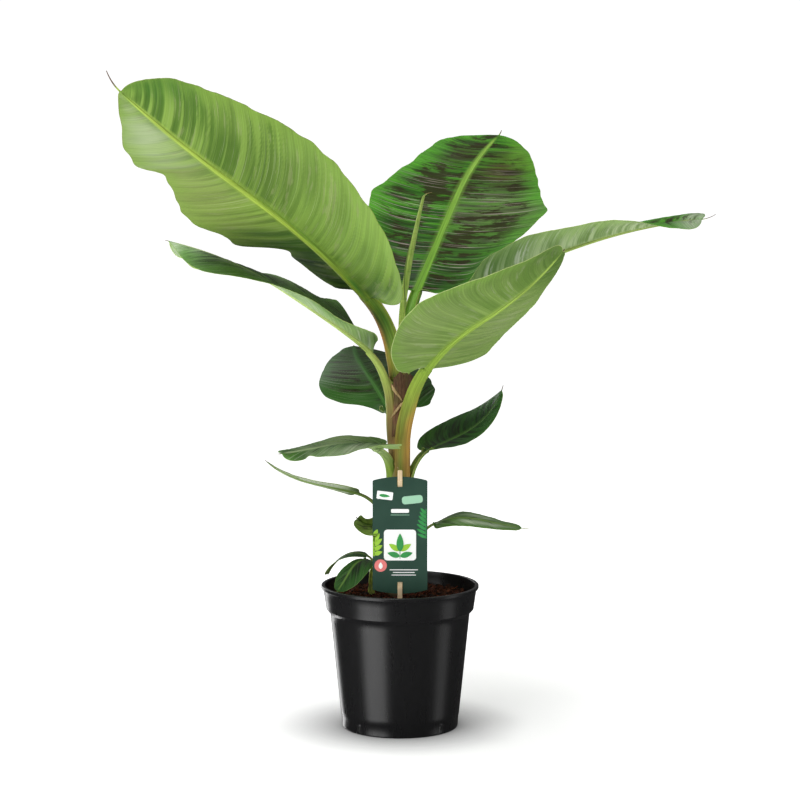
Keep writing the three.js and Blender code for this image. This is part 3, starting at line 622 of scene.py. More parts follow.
def leaf_line(leaf, dress):
    """Everything that changes along a leaf: from the sheath's foot over the stalk and blade to the tip."""
    turn, rise, roll = leaf["turn"], leaf["rise"], leaf["roll"]
    stalk, blade, root = leaf["stalk"], leaf["blade"], np.array(leaf["root"], float)
    length, radius, opens, closes = dress["sheath"]

    # the sheath: q is 0 at its foot and 1 at the root
    q = np.linspace(0, 1, max(8, int(length / 3)) + 1)[:-1]
    a = math.radians(turn[0])
    stem = np.array([SHOOT_X if leaf["name"].startswith("shoot") else 0.0, 0.0])
    foot = stem + radius * np.array([math.cos(a), math.sin(a)])
    sheath_xy = lerp(foot, root[:2], step(q, 0.35, 1)[:, None])
    sheath = np.hstack([sheath_xy, (root[2] - length * (1 - q))[:, None]])
    sheath_heading = (np.full(len(q), turn[0]), lerp(90, rise[0], step(q, 0.6, 1)), np.zeros(len(q)))

    # the stalk: s is 0 at the root and 1 at the blade's base
    def on_stalk(x):
        return lerp(turn[0], turn[1], x), lerp(rise[0], rise[1], x), roll[0] * x

    s = np.linspace(0, 1, max(10, int(stalk / 3)) + 1)
    stalk_places = walk(root, stalk, on_stalk, s)

    # the blade, with closer stations where its ends round off: t is 0 at its base and 1 at its tip
    def on_blade(x):
        return through(turn[1:], x), through(rise[1:], x), through(roll, x)

    even = np.linspace(0, 1, int(blade / (1.5 if blade > BIG_BLADE else 1.0)) + 1)
    t = lerp(even, (1 - np.cos(math.pi * even)) / 2, 0.55)
    blade_places = walk(stalk_places[-1], blade, on_blade, t)

    # the thread at the tip: e is 1 at its end
    def on_tail(x):
        flat = np.ones_like(x)
        return turn[3] * flat, rise[3] + leaf["tail"][1] * x, roll[2] * flat

    e = np.linspace(0, 1, 9)
    tail_places = walk(blade_places[-1], leaf["tail"][0], on_tail, e)[1:]
    e = e[1:]

    angles = [sheath_heading, on_stalk(s[:-1]), on_blade(t), on_tail(e)]
    along, up, across = (np.vstack(parts) for parts in zip(*(headings(*angle) for angle in angles)))
    counts = [len(q), len(s) - 1, len(t), len(e)]

    def share(zone, values):
        """A zone's values for the whole leaf: 0 before the zone and 1 after it."""
        return np.concatenate([np.zeros(sum(counts[:zone])), values, np.ones(sum(counts[zone + 1 :]))])

    ahead = stalk + blade + e * leaf["tail"][0]
    line = SimpleNamespace(
        place=np.vstack([sheath, stalk_places[:-1], blade_places, tail_places]),
        along=along,
        up=up,
        across=across,
        zone=np.repeat([SHEATH, STALK, BLADE, TAIL], counts),
        q=share(SHEATH, q),
        s=share(STALK, s[:-1]),
        t=share(BLADE, t),
        e=share(TAIL, e),
        from_root=np.concatenate([-length * (1 - q), s[:-1] * stalk, stalk + t * blade, ahead]),
        opens=opens,
        closes=closes,
        radius=radius,
        size=min(1.0, blade / FULL_BLADE),
    )
    stalk_half = lerp(leaf["stalkHalf"][0], leaf["stalkHalf"][1], line.s)
    if "rib_halves" in dress:
        taper = through(dress["rib_halves"], line.t)
    else:
        taper = lerp(leaf["stalkHalf"][1] * dress["rib"], RIB_TIP, line.t**0.65)
    at_base = step(line.t, 0, 0.04)
    rib = np.where(line.zone == BLADE, lerp(stalk_half * 0.9, taper, at_base), stalk_half * 0.9)
    line.rib = np.where(line.zone == TAIL, lerp(0.6, 0.3, line.e), rib)
    return line


def half_width(dress, line, half, name, seed):
    """A half's width along the leaf, and how far what its ruffles stick out curls."""
    t, zone, rib = line.t, line.zone, line.rib
    wing = rib * (1 + dress["wing"])
    sign = 1 if name == "right" else -1
    wave = noise(line.from_root / 13.0, sign * 3.1, seed + 1)
    width = through(half["half"], t) * rounding(t) * (1 + 0.014 * wave)
    tuck = np.zeros_like(t)
    for side, at, spread, reach, curl in dress["ruffles"]:
        if side == name:
            bump = np.exp(-(((t - at) / spread) ** 2) * 1.4) * (zone == BLADE)
            width = width + reach * bump
            tuck = tuck + curl * bump
    width = np.where(zone == BLADE, np.maximum(width, lerp(wing, rib * 1.25, step(t, 0, 0.06))), wing)
    width = np.where(zone == TAIL, lerp(0.95, 0.4, line.e), width)
    wrapped = 1 - step(line.from_root, line.opens, line.closes)
    round_stem = dress["wrap"][name == "right"] * TAU * line.radius
    width = np.maximum(width, lerp(width, round_stem, wrapped * (zone < BLADE)))
    return width, tuck, wrapped


def tint_and_painted_light_layers(dress, name, line, share, distance, v, seed):
    """The colour and strength of the clouds over a half, partly the leaf's own tones and partly painted light
    and shade, and where its pale lines of waxy coating and painted sheen show.
    """
    tint_and_painted_light, bloom_and_sheen = np.zeros((*distance.shape, 4)), np.zeros(distance.shape)
    for side, at, where, spread, reach, tint, strength in dress["clouds"]:
        if side not in ("both", name):
            continue
        up = (line.t[:, None] - at) / spread + 0.35 * noise(v / 9, distance / 40, seed + 21)
        outward = (share - where) / reach + 0.25 * noise(v / 14, distance / 12, seed + 22)
        mask = strength * np.exp(-(up**2 + outward**2) * 1.2) * (line.zone == BLADE)[:, None]
        if tint == BLOOM_AND_SHEEN:
            bloom_and_sheen = np.maximum(bloom_and_sheen, mask)
            continue
        total = tint_and_painted_light[..., 3] + mask - tint_and_painted_light[..., 3] * mask
        part = (mask / np.maximum(total, 1e-6))[..., None]
        tint_and_painted_light[..., :3] = lerp(tint_and_painted_light[..., :3], np.array(rgb(tint)[:3]), part)
        tint_and_painted_light[..., 3] = total
    return tint_and_painted_light, bloom_and_sheen


def half_sheet(leaf, dress, line, name, columns, seed):
    """One half of a leaf's middle surface, from the rib to the edge, and what its material reads."""
    half = leaf[name]
    sign, t, zone, rib = (1 if name == "right" else -1), line.t, line.zone, line.rib
    width, tuck, wrapped = half_width(dress, line, half, name, seed)
    open_blade = np.maximum(step(width, 1.6 * rib, 5 * rib), step(t, 0.4, 0.6)) * (zone == BLADE)
    lift = lerp(STALK_LIFT * (1 - wrapped), through(half["lift"], t), open_blade)
    round_curl = np.degrees(width / np.maximum(line.radius, 1))
    curl = lerp(wrapped * round_curl, through(half["curl"], t), open_blade)
    lift, curl = (np.where(zone == TAIL, 0.0, angle) for angle in (lift, curl))
    sweep = through(leaf["sweep"], t) * (zone == BLADE)

    # the section: columns over the rib and out to the edge, bent by lift, curl and ruffles
    even = np.linspace(0, 1, columns + 1)[1:]
    even = np.concatenate([even[:-1], [1 - 0.15 / columns], [1]])
    inner = RIB_COLUMNS[None, :] * np.minimum(rib, width / 1.2)[:, None]
    outer = inner[:, -1:] + (width[:, None] - inner[:, -1:]) * even[None, :]
    distance = np.hstack([inner, outer])
    middle = (distance[:, 1:] + distance[:, :-1]) / 2
    share = middle / width[:, None]
    rises = lerp(step(middle / rib[:, None], 0.5, 1.1), 1.0, open_blade[:, None])
    bend = lift[:, None] * rises + curl[:, None] * share + tuck[:, None] * step(share, 0.72, 1.0)
    bend = np.radians(bend)[..., None]
    steps = (
        np.cos(bend) * sign * line.across[:, None]
        + np.sin(bend) * line.up[:, None]
        + sweep[:, None, None] * (0.7 + 0.6 * share[..., None]) * line.along[:, None]
    ) * np.diff(distance, axis=1)[..., None]
    points = np.cumsum(np.concatenate([line.place[:, None], steps], 1), 1)
    tilt = np.concatenate([bend[:, :1] * 0, bend], 1)
    normal = np.cos(tilt) * line.up[:, None] - np.sin(tilt) * sign * line.across[:, None]

    # pleats along the veins, and waves that grow towards the edge; v is constant along a vein
    share = distance / width[:, None]
    lean = dress["lean"][name == "right"]
    v = line.from_root[:, None] - (lean + 0.3 * (share - 0.4)) * np.maximum(distance - rib[:, None], 0)
    on_blade = (zone == BLADE)[:, None] * step(t, 0, 0.04)[:, None] * step(1 - t, 0, 0.05)[:, None]
    off_rib = step(distance, rib[:, None] * 1.1, rib[:, None] * 1.1 + 6)
    pleat = noise(v / 3.5, distance / 90.0, seed + 5) + 0.35 * noise(v / 1.7, distance / 60.0, seed + 6)
    near_edge = step(share, 0.6, 1.0)
    folds = PLEAT_HEIGHT * off_rib * pleat * line.size * dress["pleat"] * (1 - 0.5 * near_edge)
    ripple = dress["wave"] * share**2 * noise(v / (30 * line.size + 8), sign * 5.3 + share, seed + 9)
    hump = HUMP_HEIGHT * line.size * share * noise(v / 60.0, distance / 50.0 + sign, seed + 12)
    points = points + normal * ((folds + ripple + hump * off_rib) * on_blade)[..., None]
    tint_and_painted_light, bloom_and_sheen = tint_and_painted_light_layers(dress, name, line, share, distance, v, seed)
    # pleat_shade: the pleats' height, kept for the materials to paint shade into their troughs and light onto
    # their crests
    pleat_shade = -pleat * dress["pleat"] * off_rib * (zone == BLADE)[:, None] * (1 - 0.3 * near_edge)
    along = (v - leaf["stalk"]) * dress["grain"]
    width = np.broadcast_to(width[:, None], distance.shape)
    return points, distance, width, dict(pleat_shade=pleat_shade, tint_and_painted_light=tint_and_painted_light, bloom_and_sheen=bloom_and_sheen, along=along)


def stalk_tones(leaf, dress, line, out, width, seed):
    """The colours of sheath, stalk, rib and thread over the whole leaf."""
    tones = np.array([rgb(code) for code in dress["tones"]])
    zones = [line.zone == zone for zone in (SHEATH, STALK, BLADE)]
    place = np.select(zones, [line.q, 1 + 2 * line.s, 3 + line.t], 4.0)
    tone = np.stack([np.interp(place, np.arange(5), tones[:, k]) for k in range(4)], -1)
    tone = np.repeat(tone[:, None], out.shape[1], 1)
    far = line.from_root[:, None]
    stain = dress["stain"] or (leaf["stalk"] - 25, leaf["stalk"] + 30)
    for middle, spread, tint, *fade in dress["bands"]:
        lower = 1 - step(far, *(fade or stain))
        wander = noise(far / 22, out / 9, seed) * spread * 0.3
        patchy = 0.75 + 0.5 * noise(far / 26, out / 7, seed + 31 + middle)
        mask = lower * patchy * np.exp(-(((out + wander - middle) / spread) ** 2))
        tone = lerp(tone, np.array(rgb(tint)), mask[..., None])
    hem = (1 - step(width - np.abs(out), 0.5, 1.6)) * (line.zone < BLADE)[:, None]
    tone = lerp(tone, np.array(rgb(HEM)), hem[..., None] * dress["hem"])
    dry = np.broadcast_to(step(line.e[:, None], 0.1, 0.5), out.shape)
    return lerp(tone, np.array(rgb(dress["thread"])), dry[..., None])


def leaf_sheet(leaf, seed):
    """The whole leaf as one closed thin sheet with a raised rib under it and a groove along its top."""
    dress = {**PLAIN, **DRESS[leaf["name"]]}
    line = leaf_line(leaf, dress)
    columns = 20 if leaf["blade"] > BIG_BLADE else 12
    right, right_out, right_width, right_data = half_sheet(leaf, dress, line, "right", columns, seed)
    left, left_out, left_width, left_data = half_sheet(leaf, dress, line, "left", columns, seed + 40)

    def joined(left_part, right_part):
        return np.concatenate([left_part[:, :0:-1], right_part], 1)

    points, out, width = joined(left, right), joined(-left_out, right_out), joined(left_width, right_width)
    normal = np.cross(np.gradient(points, axis=1), np.gradient(points, axis=0))
    normal /= np.maximum(np.linalg.norm(normal, axis=2, keepdims=True), 1e-9)

    # its thickness: the sheet thins to the edge, and the rib stands out below and is grooved above
    rib, zone, t = line.rib[:, None], line.zone[:, None], line.t[:, None]
    off = np.abs(out) / rib
    wrapped = (1 - step(line.from_root, line.opens - 40, line.closes))[:, None]
    sheet = lerp(0.5, 0.65, line.size) + 0.9 * np.exp(-np.clip(np.abs(out) - rib, 0, 99) / 4) * (rib / 6)
    sheet = np.where(zone < BLADE, lerp(rib * 0.28, SHEATH_THICKNESS, wrapped), sheet)
    sheet = np.where(zone == TAIL, TAIL_THICKNESS, sheet)
    sheet = lerp(sheet, EDGE_THICKNESS, step(np.abs(out) / width, 0.9, 1.0))
    keel = dress["keel"] * rib * np.sqrt(np.clip(1 - off**2, 0, 1)) * lerp(1.0, 0.25, wrapped)
    groove = -GROOVE * rib * (1 - np.clip(off, 0, 1) ** 2) ** 2 * (zone < TAIL)
    top = points + normal * (sheet / 2 + groove)[..., None]
    under = points - normal * (sheet / 2 + keel)[..., None]

    # what its materials read, on both sides; pleat_shade paints shade into the pleats' troughs and light onto
    # their crests, and the crests of one side are the troughs of the other
    blade_rib = (1 - step(np.abs(out), rib * 0.85, rib * 1.15 + 0.6)) * (1 - step(t, 0.93, 1.0))
    data = dict(
        out=out,
        to_edge=np.where(zone == BLADE, width - np.abs(out), 50.0),
        rib=np.where(zone == BLADE, blade_rib, 1.0),
        tone=stalk_tones(leaf, dress, line, out, width, seed),
    )
    data.update({key: joined(left_data[key], right_data[key]) for key in left_data})
    data = {key: np.concatenate([values.reshape(-1, *values.shape[2:])] * 2) for key, values in data.items()}
    data["pleat_shade"][: out.size] *= -1

    faces = thin_faces(*out.shape)
    which = np.arange(sum(len(f) for f in faces)) >= len(faces[0])
    looks = [LEAF_LOOKS[dress["top"] + "_top"], LEAF_LOOKS[dress["under"] + "_under"]]
    points = np.concatenate([top.reshape(-1, 3), under.reshape(-1, 3)])
    make(leaf["name"] + "_blade", points, faces, looks, leaf["name"], which, data)


LEAF_LOOKS = {
    "flecked_top": leaf_look(
        "top flecked", deep="214d10", fresh="4b9022", margin="55a428", fleck="2a2206", flecks=0.58,
        bloom_and_sheen="c8bcb0", bloom_and_sheen_amount=0.7, rough=0.4, gloss=0.15, edge="7fa838", band=34.0, contrast=0.32, seed=1.0,
    ),
    "dark_flecked_top": leaf_look(
        "top dark flecked", deep="17300f", fresh="31501c", margin="305a20", fleck="1c180a", flecks=0.35,
        bloom_and_sheen="90a084", bloom_and_sheen_amount=0.5, rough=0.5, gloss=0.12, edge="4a6a30", band=24.0, contrast=0.25, seed=21.0,
        pleats=0.2,
    ),
    "dark_top": leaf_look(
        "top dark", deep="152c13", fresh="26481c", margin="2f5a20", fleck="151c10", flecks=0.5,
        bloom_and_sheen="8a9c78", bloom_and_sheen_amount=0.6, rough=0.4, gloss=0.2, edge="5a7a38", band=20.0, contrast=0.25, seed=31.0,
    ),
    "fresh_top": leaf_look(
        "top fresh", deep="2b521e", fresh="648a4a", margin="568438", fleck="1f3416", flecks=0.4,
        bloom_and_sheen="c4d0b4", bloom_and_sheen_amount=0.9, rough=0.4, gloss=0.2, edge="7a9a48", band=20.0, contrast=0.25, seed=36.0,
        pleats=0.75,
    ),
    "bright_under": leaf_look(
        "underside bright", deep="4d7022", fresh="7f9f42", margin="77993a", fleck="8f9468", flecks=0.1,
        bloom_and_sheen="b4bc92", bloom_and_sheen_amount=0.5, rough=0.5, gloss=0.25, edge="7a8a3a", band=24.0, contrast=0.14, seed=41.0,
        cover=0.35, pleats=0.6,
    ),
    "sage_under": leaf_look(
        "underside sage", deep="5e7e32", fresh="7c984a", margin="759a3e", fleck="98a07c", flecks=0.2,
        bloom_and_sheen="a8b890", bloom_and_sheen_amount=0.3, rough=0.5, gloss=0.2, edge="c0cc88", band=24.0, contrast=0.14, seed=51.0,
        cover=0.3,
    ),
    "pale_under": leaf_look(
        "underside pale", deep="6c8a48", fresh="a4b886", margin="90b064", fleck="c0c8b4", flecks=0.1,
        bloom_and_sheen="c8d0c0", bloom_and_sheen_amount=0.5, rough=0.55, gloss=0.2, edge="b0c470", band=24.0, contrast=0.16, seed=61.0,
        cover=0.4,
    ),
    "olive_under": leaf_look(
        "underside olive", deep="4f6e2a", fresh="6c8a3c", margin="6a8a3c", fleck="8a9468", flecks=0.3,
        bloom_and_sheen="98a878", bloom_and_sheen_amount=0.2, rough=0.5, gloss=0.2, edge="8a9c4c", band=20.0, contrast=0.16, seed=71.0,
        cover=0.35,
    ),
}


# ---- the stem, its dry sheaths, the rolled leaf and the side shoot ----

SOIL_EDGE, SOIL_MOUND, SOIL_SHOULDER = 141.0, 4.0, 50.0
TRUNK_TOP, TRUNK_RADIUS, TRUNK_FOOT_RADIUS, TRUNK_FLARE = 386.0, 10.6, 16.0, 30.0
PAPER = 0.4  # thickness of a dry sheath


def trunk_look():
    look = Look("stem sheaths", 0.5, 0.4)
    fibre = look.grain(look.place(0.5, 0.5, 0.018), 1, 4, 0.65)
    patch = look.grain(look.place(0.07, 0.07, 0.016), 1, 3, 0.6)
    fleck = look.grain(look.place(0.35, 0.35, 0.12), 1, 3, 0.7)
    height = look.height()
    colour = look.mix(look.span(patch, 0.38, 0.62), rgb("7d8f42"), rgb("97793f"))
    colour = look.cover(colour, "6e5038", fibre, 0.42, 0.7, 0.0, 0.7)
    colour = look.cover(colour, "503222", fleck, 0.62, 0.7, 0.0, 0.6)
    colour = look.cover(colour, "7a683c", height, 150.0, 200.0, 0.7, 0.0)
    colour = look.cover(colour, "2e1c12", height, 144.0, 153.0, 0.85, 0.0)
    return look.finish(colour, look.bump(fibre, 0.4), look.span(patch, 0.3, 0.7, 0.4, 0.6))


def trunk():
    """The stem itself, seen between the leaf sheaths that wrap it."""
    z, a = np.linspace(SOIL_EDGE - 2, TRUNK_TOP + 6, 260)[:, None], circle(96)
    flare = 1 - step(z, SOIL_EDGE + 4, SOIL_EDGE + SOIL_MOUND + TRUNK_FLARE)
    radius = TRUNK_RADIUS + flare * (TRUNK_FOOT_RADIUS - TRUNK_RADIUS) - 1.6 * step(z, 330, TRUNK_TOP)
    radius = radius * (1 - 0.75 * step(z, TRUNK_TOP - 8, TRUNK_TOP + 6) ** 2)
    ridges = 0.35 * noise(3 * np.cos(a) + 0.004 * z, 3 * np.sin(a) + z / 90, 3)
    ridges = ridges + 0.2 * noise(7 * np.cos(a), 7 * np.sin(a) + z / 40, 4)
    tube("stem_core", turned(radius + ridges, z, a), trunk_look(), "trunk")


def papery_sheath(name, heights, middle, half, radius, lean, seed, look):
    """A dry leaf sheath: a thin curved sheet on the stem with a ragged upper edge.

    middle, half: degrees round the stem. lean: how far the upper edge stands off.
    """
    rows, columns = 60, 50
    u, q = np.linspace(-1, 1, columns), np.linspace(0, 1, rows)[:, None]
    bottom = heights[0] + 5 * noise(u * 4, 1.5, seed + 5) + 3 * noise(u * 13, 1.5, seed + 6)
    top = heights[1] - 5 * u**2 + 3.5 * noise(u * 5, 0.5, seed) + 1.5 * noise(u * 15, 0.5, seed + 1)
    z = lerp(bottom, top, q)
    angle = np.radians(middle + u * half * (1 - 0.35 * q + 0.06 * noise(q * 7, u, seed + 2)))
    r = radius + lean * q**2 + 0.5 * noise(u * 3, z / 14, seed + 3) + 0.2 * noise(u * 14, z / 30, seed + 4)
    points = np.concatenate([turned(side, z, angle).reshape(-1, 3) for side in (r, r - PAPER)])
    make(name, points, thin_faces(rows, columns), [look], "trunk")


def dry_strip(name, angles, heights, radii, width, seed, look):
    """A dried edge of a sheath, come loose: a narrow curled ribbon that lies slantwise on the stem."""
    q = np.linspace(0, 1, 40)
    angle = np.radians(lerp(*angles, q) + 3 * noise(q * 5, 0.5, seed))
    r = through(radii, q) + 0.3 * noise(q * 7, 1.5, seed)
    spine = turned(r, lerp(*heights, q) + noise(q * 4, 2.5, seed), angle)
    along = np.gradient(spine, axis=0)
    along /= np.linalg.norm(along, axis=1, keepdims=True)
    outward = turned(1.0, 0.0, angle)
    beside = np.cross(along, outward)
    twist = 0.9 * noise(q * 3, 3.5, seed)[:, None]
    c, s = np.cos(twist), np.sin(twist)
    beside, outward = c * beside + s * outward, c * outward - s * beside
    half = (width / 2 * np.sin(np.pi * lerp(0.12, 0.9, q)))[:, None]
    turn = circle(10)
    rings = (
        spine[:, None]
        + beside[:, None] * (half * np.cos(turn))[..., None]
        + outward[:, None] * (0.25 * np.sin(turn) - 0.35 * half * np.cos(turn) ** 2)[..., None]
    )
    tube(name, rings, look, "trunk")


def papery_sheaths():
    look = Look("dry sheath", 0.7, 0.3)
    fibre = look.grain(look.place(0.8, 0.8, 0.05), 1, 4, 0.65)
    patch = look.grain(look.place(0.12, 0.12, 0.05), 1, 3, 0.6)
    colour = look.mix(look.span(fibre, 0.35, 0.65), rgb("523824"), rgb("8a6444"))
    colour = look.cover(colour, "6e6a38", patch, 0.5, 0.65, 0.0, 0.6)
    colour = look.cover(colour, "3e2a16", look.height(), 335.0, 375.0, 0.0, 0.65)
    dry = look.finish(colour, look.bump(fibre, 0.5))
    papery_sheath("dry_sheath_front", (316, 386), 288, 66, 11.4, 4.4, 31, dry)
    papery_sheath("dry_sheath_back", (300, 366), 70, 70, 10.7, 1.0, 37, dry)
    edge = plain_look("dry sheath edge", "8f7446", "c0a672", 0.6, 0.6, (1, 1, 0.2), 0.1)
    dry_strip("dry_strip_left", (196, 282), (382, 355), (12.2, 14.6, 14.2), 3.4, 41, edge)
    dry_strip("dry_strip_right", (322, 218), (363, 337), (13.6, 14.8, 12.6), 3.2, 43, edge)
    dry_strip("dry_strip_low", (238, 298), (289, 274), (12.2, 13.6, 12.6), 2.0, 47, edge)


ROLLED_ROOT, ROLLED_SUNK, ROLLED_LENGTH = np.array([1, -2, 386.4]), 14, 196.0
ROLLED_TURN, ROLLED_RISE = [20, 0, -10], [92, 82, 76]
ROLLED_RADII, ROLLED_SIDES = [4.4, 3.9, 3.6, 2.9, 1.2], 72
ROLLED_HOOK = np.array([7.5, 0.0, -3.0])  # how far its dry tip bends over


def rolled_look():
    look = Look("rolled leaf", 0.42, 0.45)
    height = look.height()
    fibre = look.grain(look.place(0.9, 0.9, 0.02), 1, 4, 0.6)
    veins = look.grain(look.place(0.12, 0.12, 0.55), 1, 2, 0.6)
    colour = look.mix(look.span(fibre, 0.35, 0.65), rgb("7fa238"), rgb("b7cf62"))
    colour = look.cover(colour, "a9be6a", height, 400.0, 560.0, 0.0, 0.35)
    colour = look.cover(colour, "5f8a30", veins, 0.5, 0.7, 0.0, 0.35)
    # painted shade: a dark line along the step, at the foot of the overlapping outer edge and on its face
    colour = look.mix(look.math("MULTIPLY", look.read("step_shade"), 0.8), colour, rgb("4d6428"))
    colour = look.cover(colour, "8a6444", height, 570.0, 579.0)
    return look.finish(colour, look.bump(fibre, 0.25))


def rolled_leaf():
    """A leaf still rolled up: its outer edge makes a step that winds slowly up it."""

    def heading(x):
        return through(ROLLED_TURN, x), through(ROLLED_RISE, x), 0 * x

    s = np.linspace(0, 1, 260)
    place = walk(ROLLED_ROOT - [0, 0, ROLLED_SUNK], ROLLED_LENGTH + ROLLED_SUNK, heading, s)
    _, up, across = headings(*heading(s))
    s = s[:, None]
    hook = np.clip((s - 0.955) / 0.045, 0, 1)
    place = place + hook**2 * ROLLED_HOOK
    radius = through(ROLLED_RADII, s) * (1 - 0.8 * hook)

    # winding: 0 at the outer edge and 1 once round from there
    turn = np.linspace(0, 1, ROLLED_SIDES + 1)[:-1]
    edge = 0.06 + 1.3 * s + 0.04 * noise(s * 9, 0.5, 61)
    winding = (turn - edge + 0.64) % 1.0
    drop = 0.22 * step(winding, 0.0, 1.0) - 0.22 * (1 - step(winding, 0.0, 0.03))
    second = 0.1 * np.exp(-(((winding - 0.45) / 0.05) ** 2))
    r = radius * (1.06 - drop - second) * (1 + 0.02 * noise(turn * 12, s * 30, 62))
    angle = TAU * turn
    rings = (
        place[:, None]
        + (r * np.cos(angle))[..., None] * across[:, None]
        + (r * np.sin(angle))[..., None] * up[:, None]
    )
    # step_shade: where the dark line of painted shade runs, beside the step of the outer edge
    step_shade = np.exp(-(((winding - 0.99) / 0.03) ** 2)) + np.exp(-((winding / 0.02) ** 2))
    step_shade = np.append(np.clip(step_shade, 0, 1), [0, 0])
    tube("rolled_leaf_spear", rings, rolled_look(), "leaf_rolled", dict(step_shade=step_shade))


def side_shoot():
    z, a = np.linspace(SOIL_EDGE - 2, 170, 60)[:, None], circle(32)
    radius = 2.5 + 1.9 * (1 - step(z, SOIL_EDGE, SOIL_EDGE + 16)) - 0.5 * step(z, 164, 170)
    r = radius * (1 + 0.06 * noise(2 * np.cos(a), 2 * np.sin(a) + z / 30, 8))
    look = plain_look("side shoot", "c2d850", "e9f58a", 0.5, 0.45, (1, 1, 0.05), 0.15)
    tube("side_shoot_stem", turned(r, z, a, SHOOT_X), look, "side_shoot")


# ---- pot and soil ----

POT_HEIGHT, POT_RIM, POT_LIP, POT_BAND, POT_NECK, POT_FOOT = 155.0, 85.0, 83.0, 79.7, 75.5, 62.8
LIP_FOOT, BAND_FOOT, NECK_Z, POT_WALL, POT_FLOOR = 151.0, 129.0, 125.5, 1.6, 4.5
MOULD_LINE = 13.0  # height of the line round the pot near its foot
DRAIN_HOLES, DRAIN_REACH, DRAIN_RADIUS = 6, 34.5, 4
FOOT_NOTCHES, NOTCH_HALF, NOTCH_HEIGHT, NOTCH_ARCH = 4, 3.5, 5, 2.5
NOTCH_REACH = (POT_FOOT - 6, POT_FOOT + 5.2)
BELOW = -2  # where the cutters start, under the pot


def pot_look():
    look = Look("black pot plastic", 0.26, 0.5)
    streak = look.grain(look.place(0.2, 0.2, 0.008), 1, 3, 0.6)
    scuff = look.grain(look.place(0.5, 0.5, 0.12), 1, 4, 0.7)
    colour = look.mix(streak, rgb("161617"), rgb("1a1a1b"))
    rough = look.math("ADD", look.span(streak, 0.3, 0.7, 0.27, 0.3), look.span(scuff, 0.5, 0.75, 0.0, 0.02))
    return look.finish(colour, look.bump(streak, 0.006), rough)


def arc(x, z, radius, start, end, count=5):
    a = np.radians(np.linspace(start, end, count))
    return [(x + radius * math.cos(k), z + radius * math.sin(k)) for k in a]


def runs(points, pitch=6.0):
    """More points along a profile's long straight runs."""
    out = [points[0]]
    for a, b in zip(points, points[1:]):
        count = max(1, int(math.dist(a, b) / pitch))
        out += [tuple(lerp(np.array(a), np.array(b), k / count)) for k in range(1, count + 1)]
    return out


def pot_profile():
    """The pot's section as (radius, height), from the pad under its floor out, up and down the inside."""
    line = lerp(POT_FOOT, POT_NECK, MOULD_LINE / NECK_Z)
    underside = [(22.0, 0.0), (24.0, 3.0), (45.0, 3.0), (47.0, 0.0)]
    outside = [
        *arc(POT_FOOT - 1.4, 1.4, 1.4, -90, 10),
        (line - 0.45, MOULD_LINE - 0.3),
        (line - 0.05, MOULD_LINE + 0.4),
        (POT_NECK - 0.15, NECK_Z - 1.6),
        (POT_NECK + 0.5, NECK_Z - 0.4),
        (POT_BAND - 1.2, BAND_FOOT - 1.3),
        *arc(POT_BAND - 1.0, BAND_FOOT + 0.4, 1.0, -50, 8),
        (POT_LIP - 0.35, LIP_FOOT - 1.2),
        (POT_LIP + 0.1, LIP_FOOT - 0.3),
        *arc(POT_RIM - 0.9, LIP_FOOT + 0.9, 0.9, -90, 0),
        *arc(POT_RIM - 1.1, POT_HEIGHT - 1.1, 1.1, 0, 90, 7),
    ]
    inside = [
        *arc(POT_RIM - 3.0, POT_HEIGHT - 0.8, 0.8, 90, 175),
        (POT_LIP - POT_WALL, LIP_FOOT - 1.6),
        (POT_BAND - POT_WALL, BAND_FOOT),
        (POT_NECK - POT_WALL, NECK_Z),
        (POT_FOOT - POT_WALL + 0.6, POT_FLOOR + 0.9),
        (POT_FOOT - POT_WALL - 0.6, POT_FLOOR),
        (30, POT_FLOOR),
    ]
    return np.array(runs([*underside, *outside, *inside]))


def block(near, far, flip=False):
    """A closed block between two loops of points, to cut with."""
    n = len(near)
    k = np.arange(n)
    after = (k + 1) % n
    faces = [k[::-1], k + n, *np.stack([k, after, after + n, k + n], -1)]
    faces = [(face[::-1] if flip else face).tolist() for face in faces]
    mesh = bpy.data.meshes.new("cutter")
    mesh.from_pydata([Vector(p) * MM for p in (*near, *far)], [], faces)
    cutter = bpy.data.objects.new("cutter", mesh)
    bpy.context.scene.collection.objects.link(cutter)
    return cutter


def cut(piece, cutters):
    """Cuts the cutters out of a piece and throws them away."""
    for cutter in cutters:
        change = piece.modifiers.new("cut", "BOOLEAN")
        change.operation, change.solver, change.object = "DIFFERENCE", "EXACT", cutter
    graph = bpy.context.evaluated_depsgraph_get()
    mesh = bpy.data.meshes.new_from_object(piece.evaluated_get(graph))
    piece.modifiers.clear()
    piece.data = mesh
    for cutter in cutters:
        bpy.data.objects.remove(cutter)


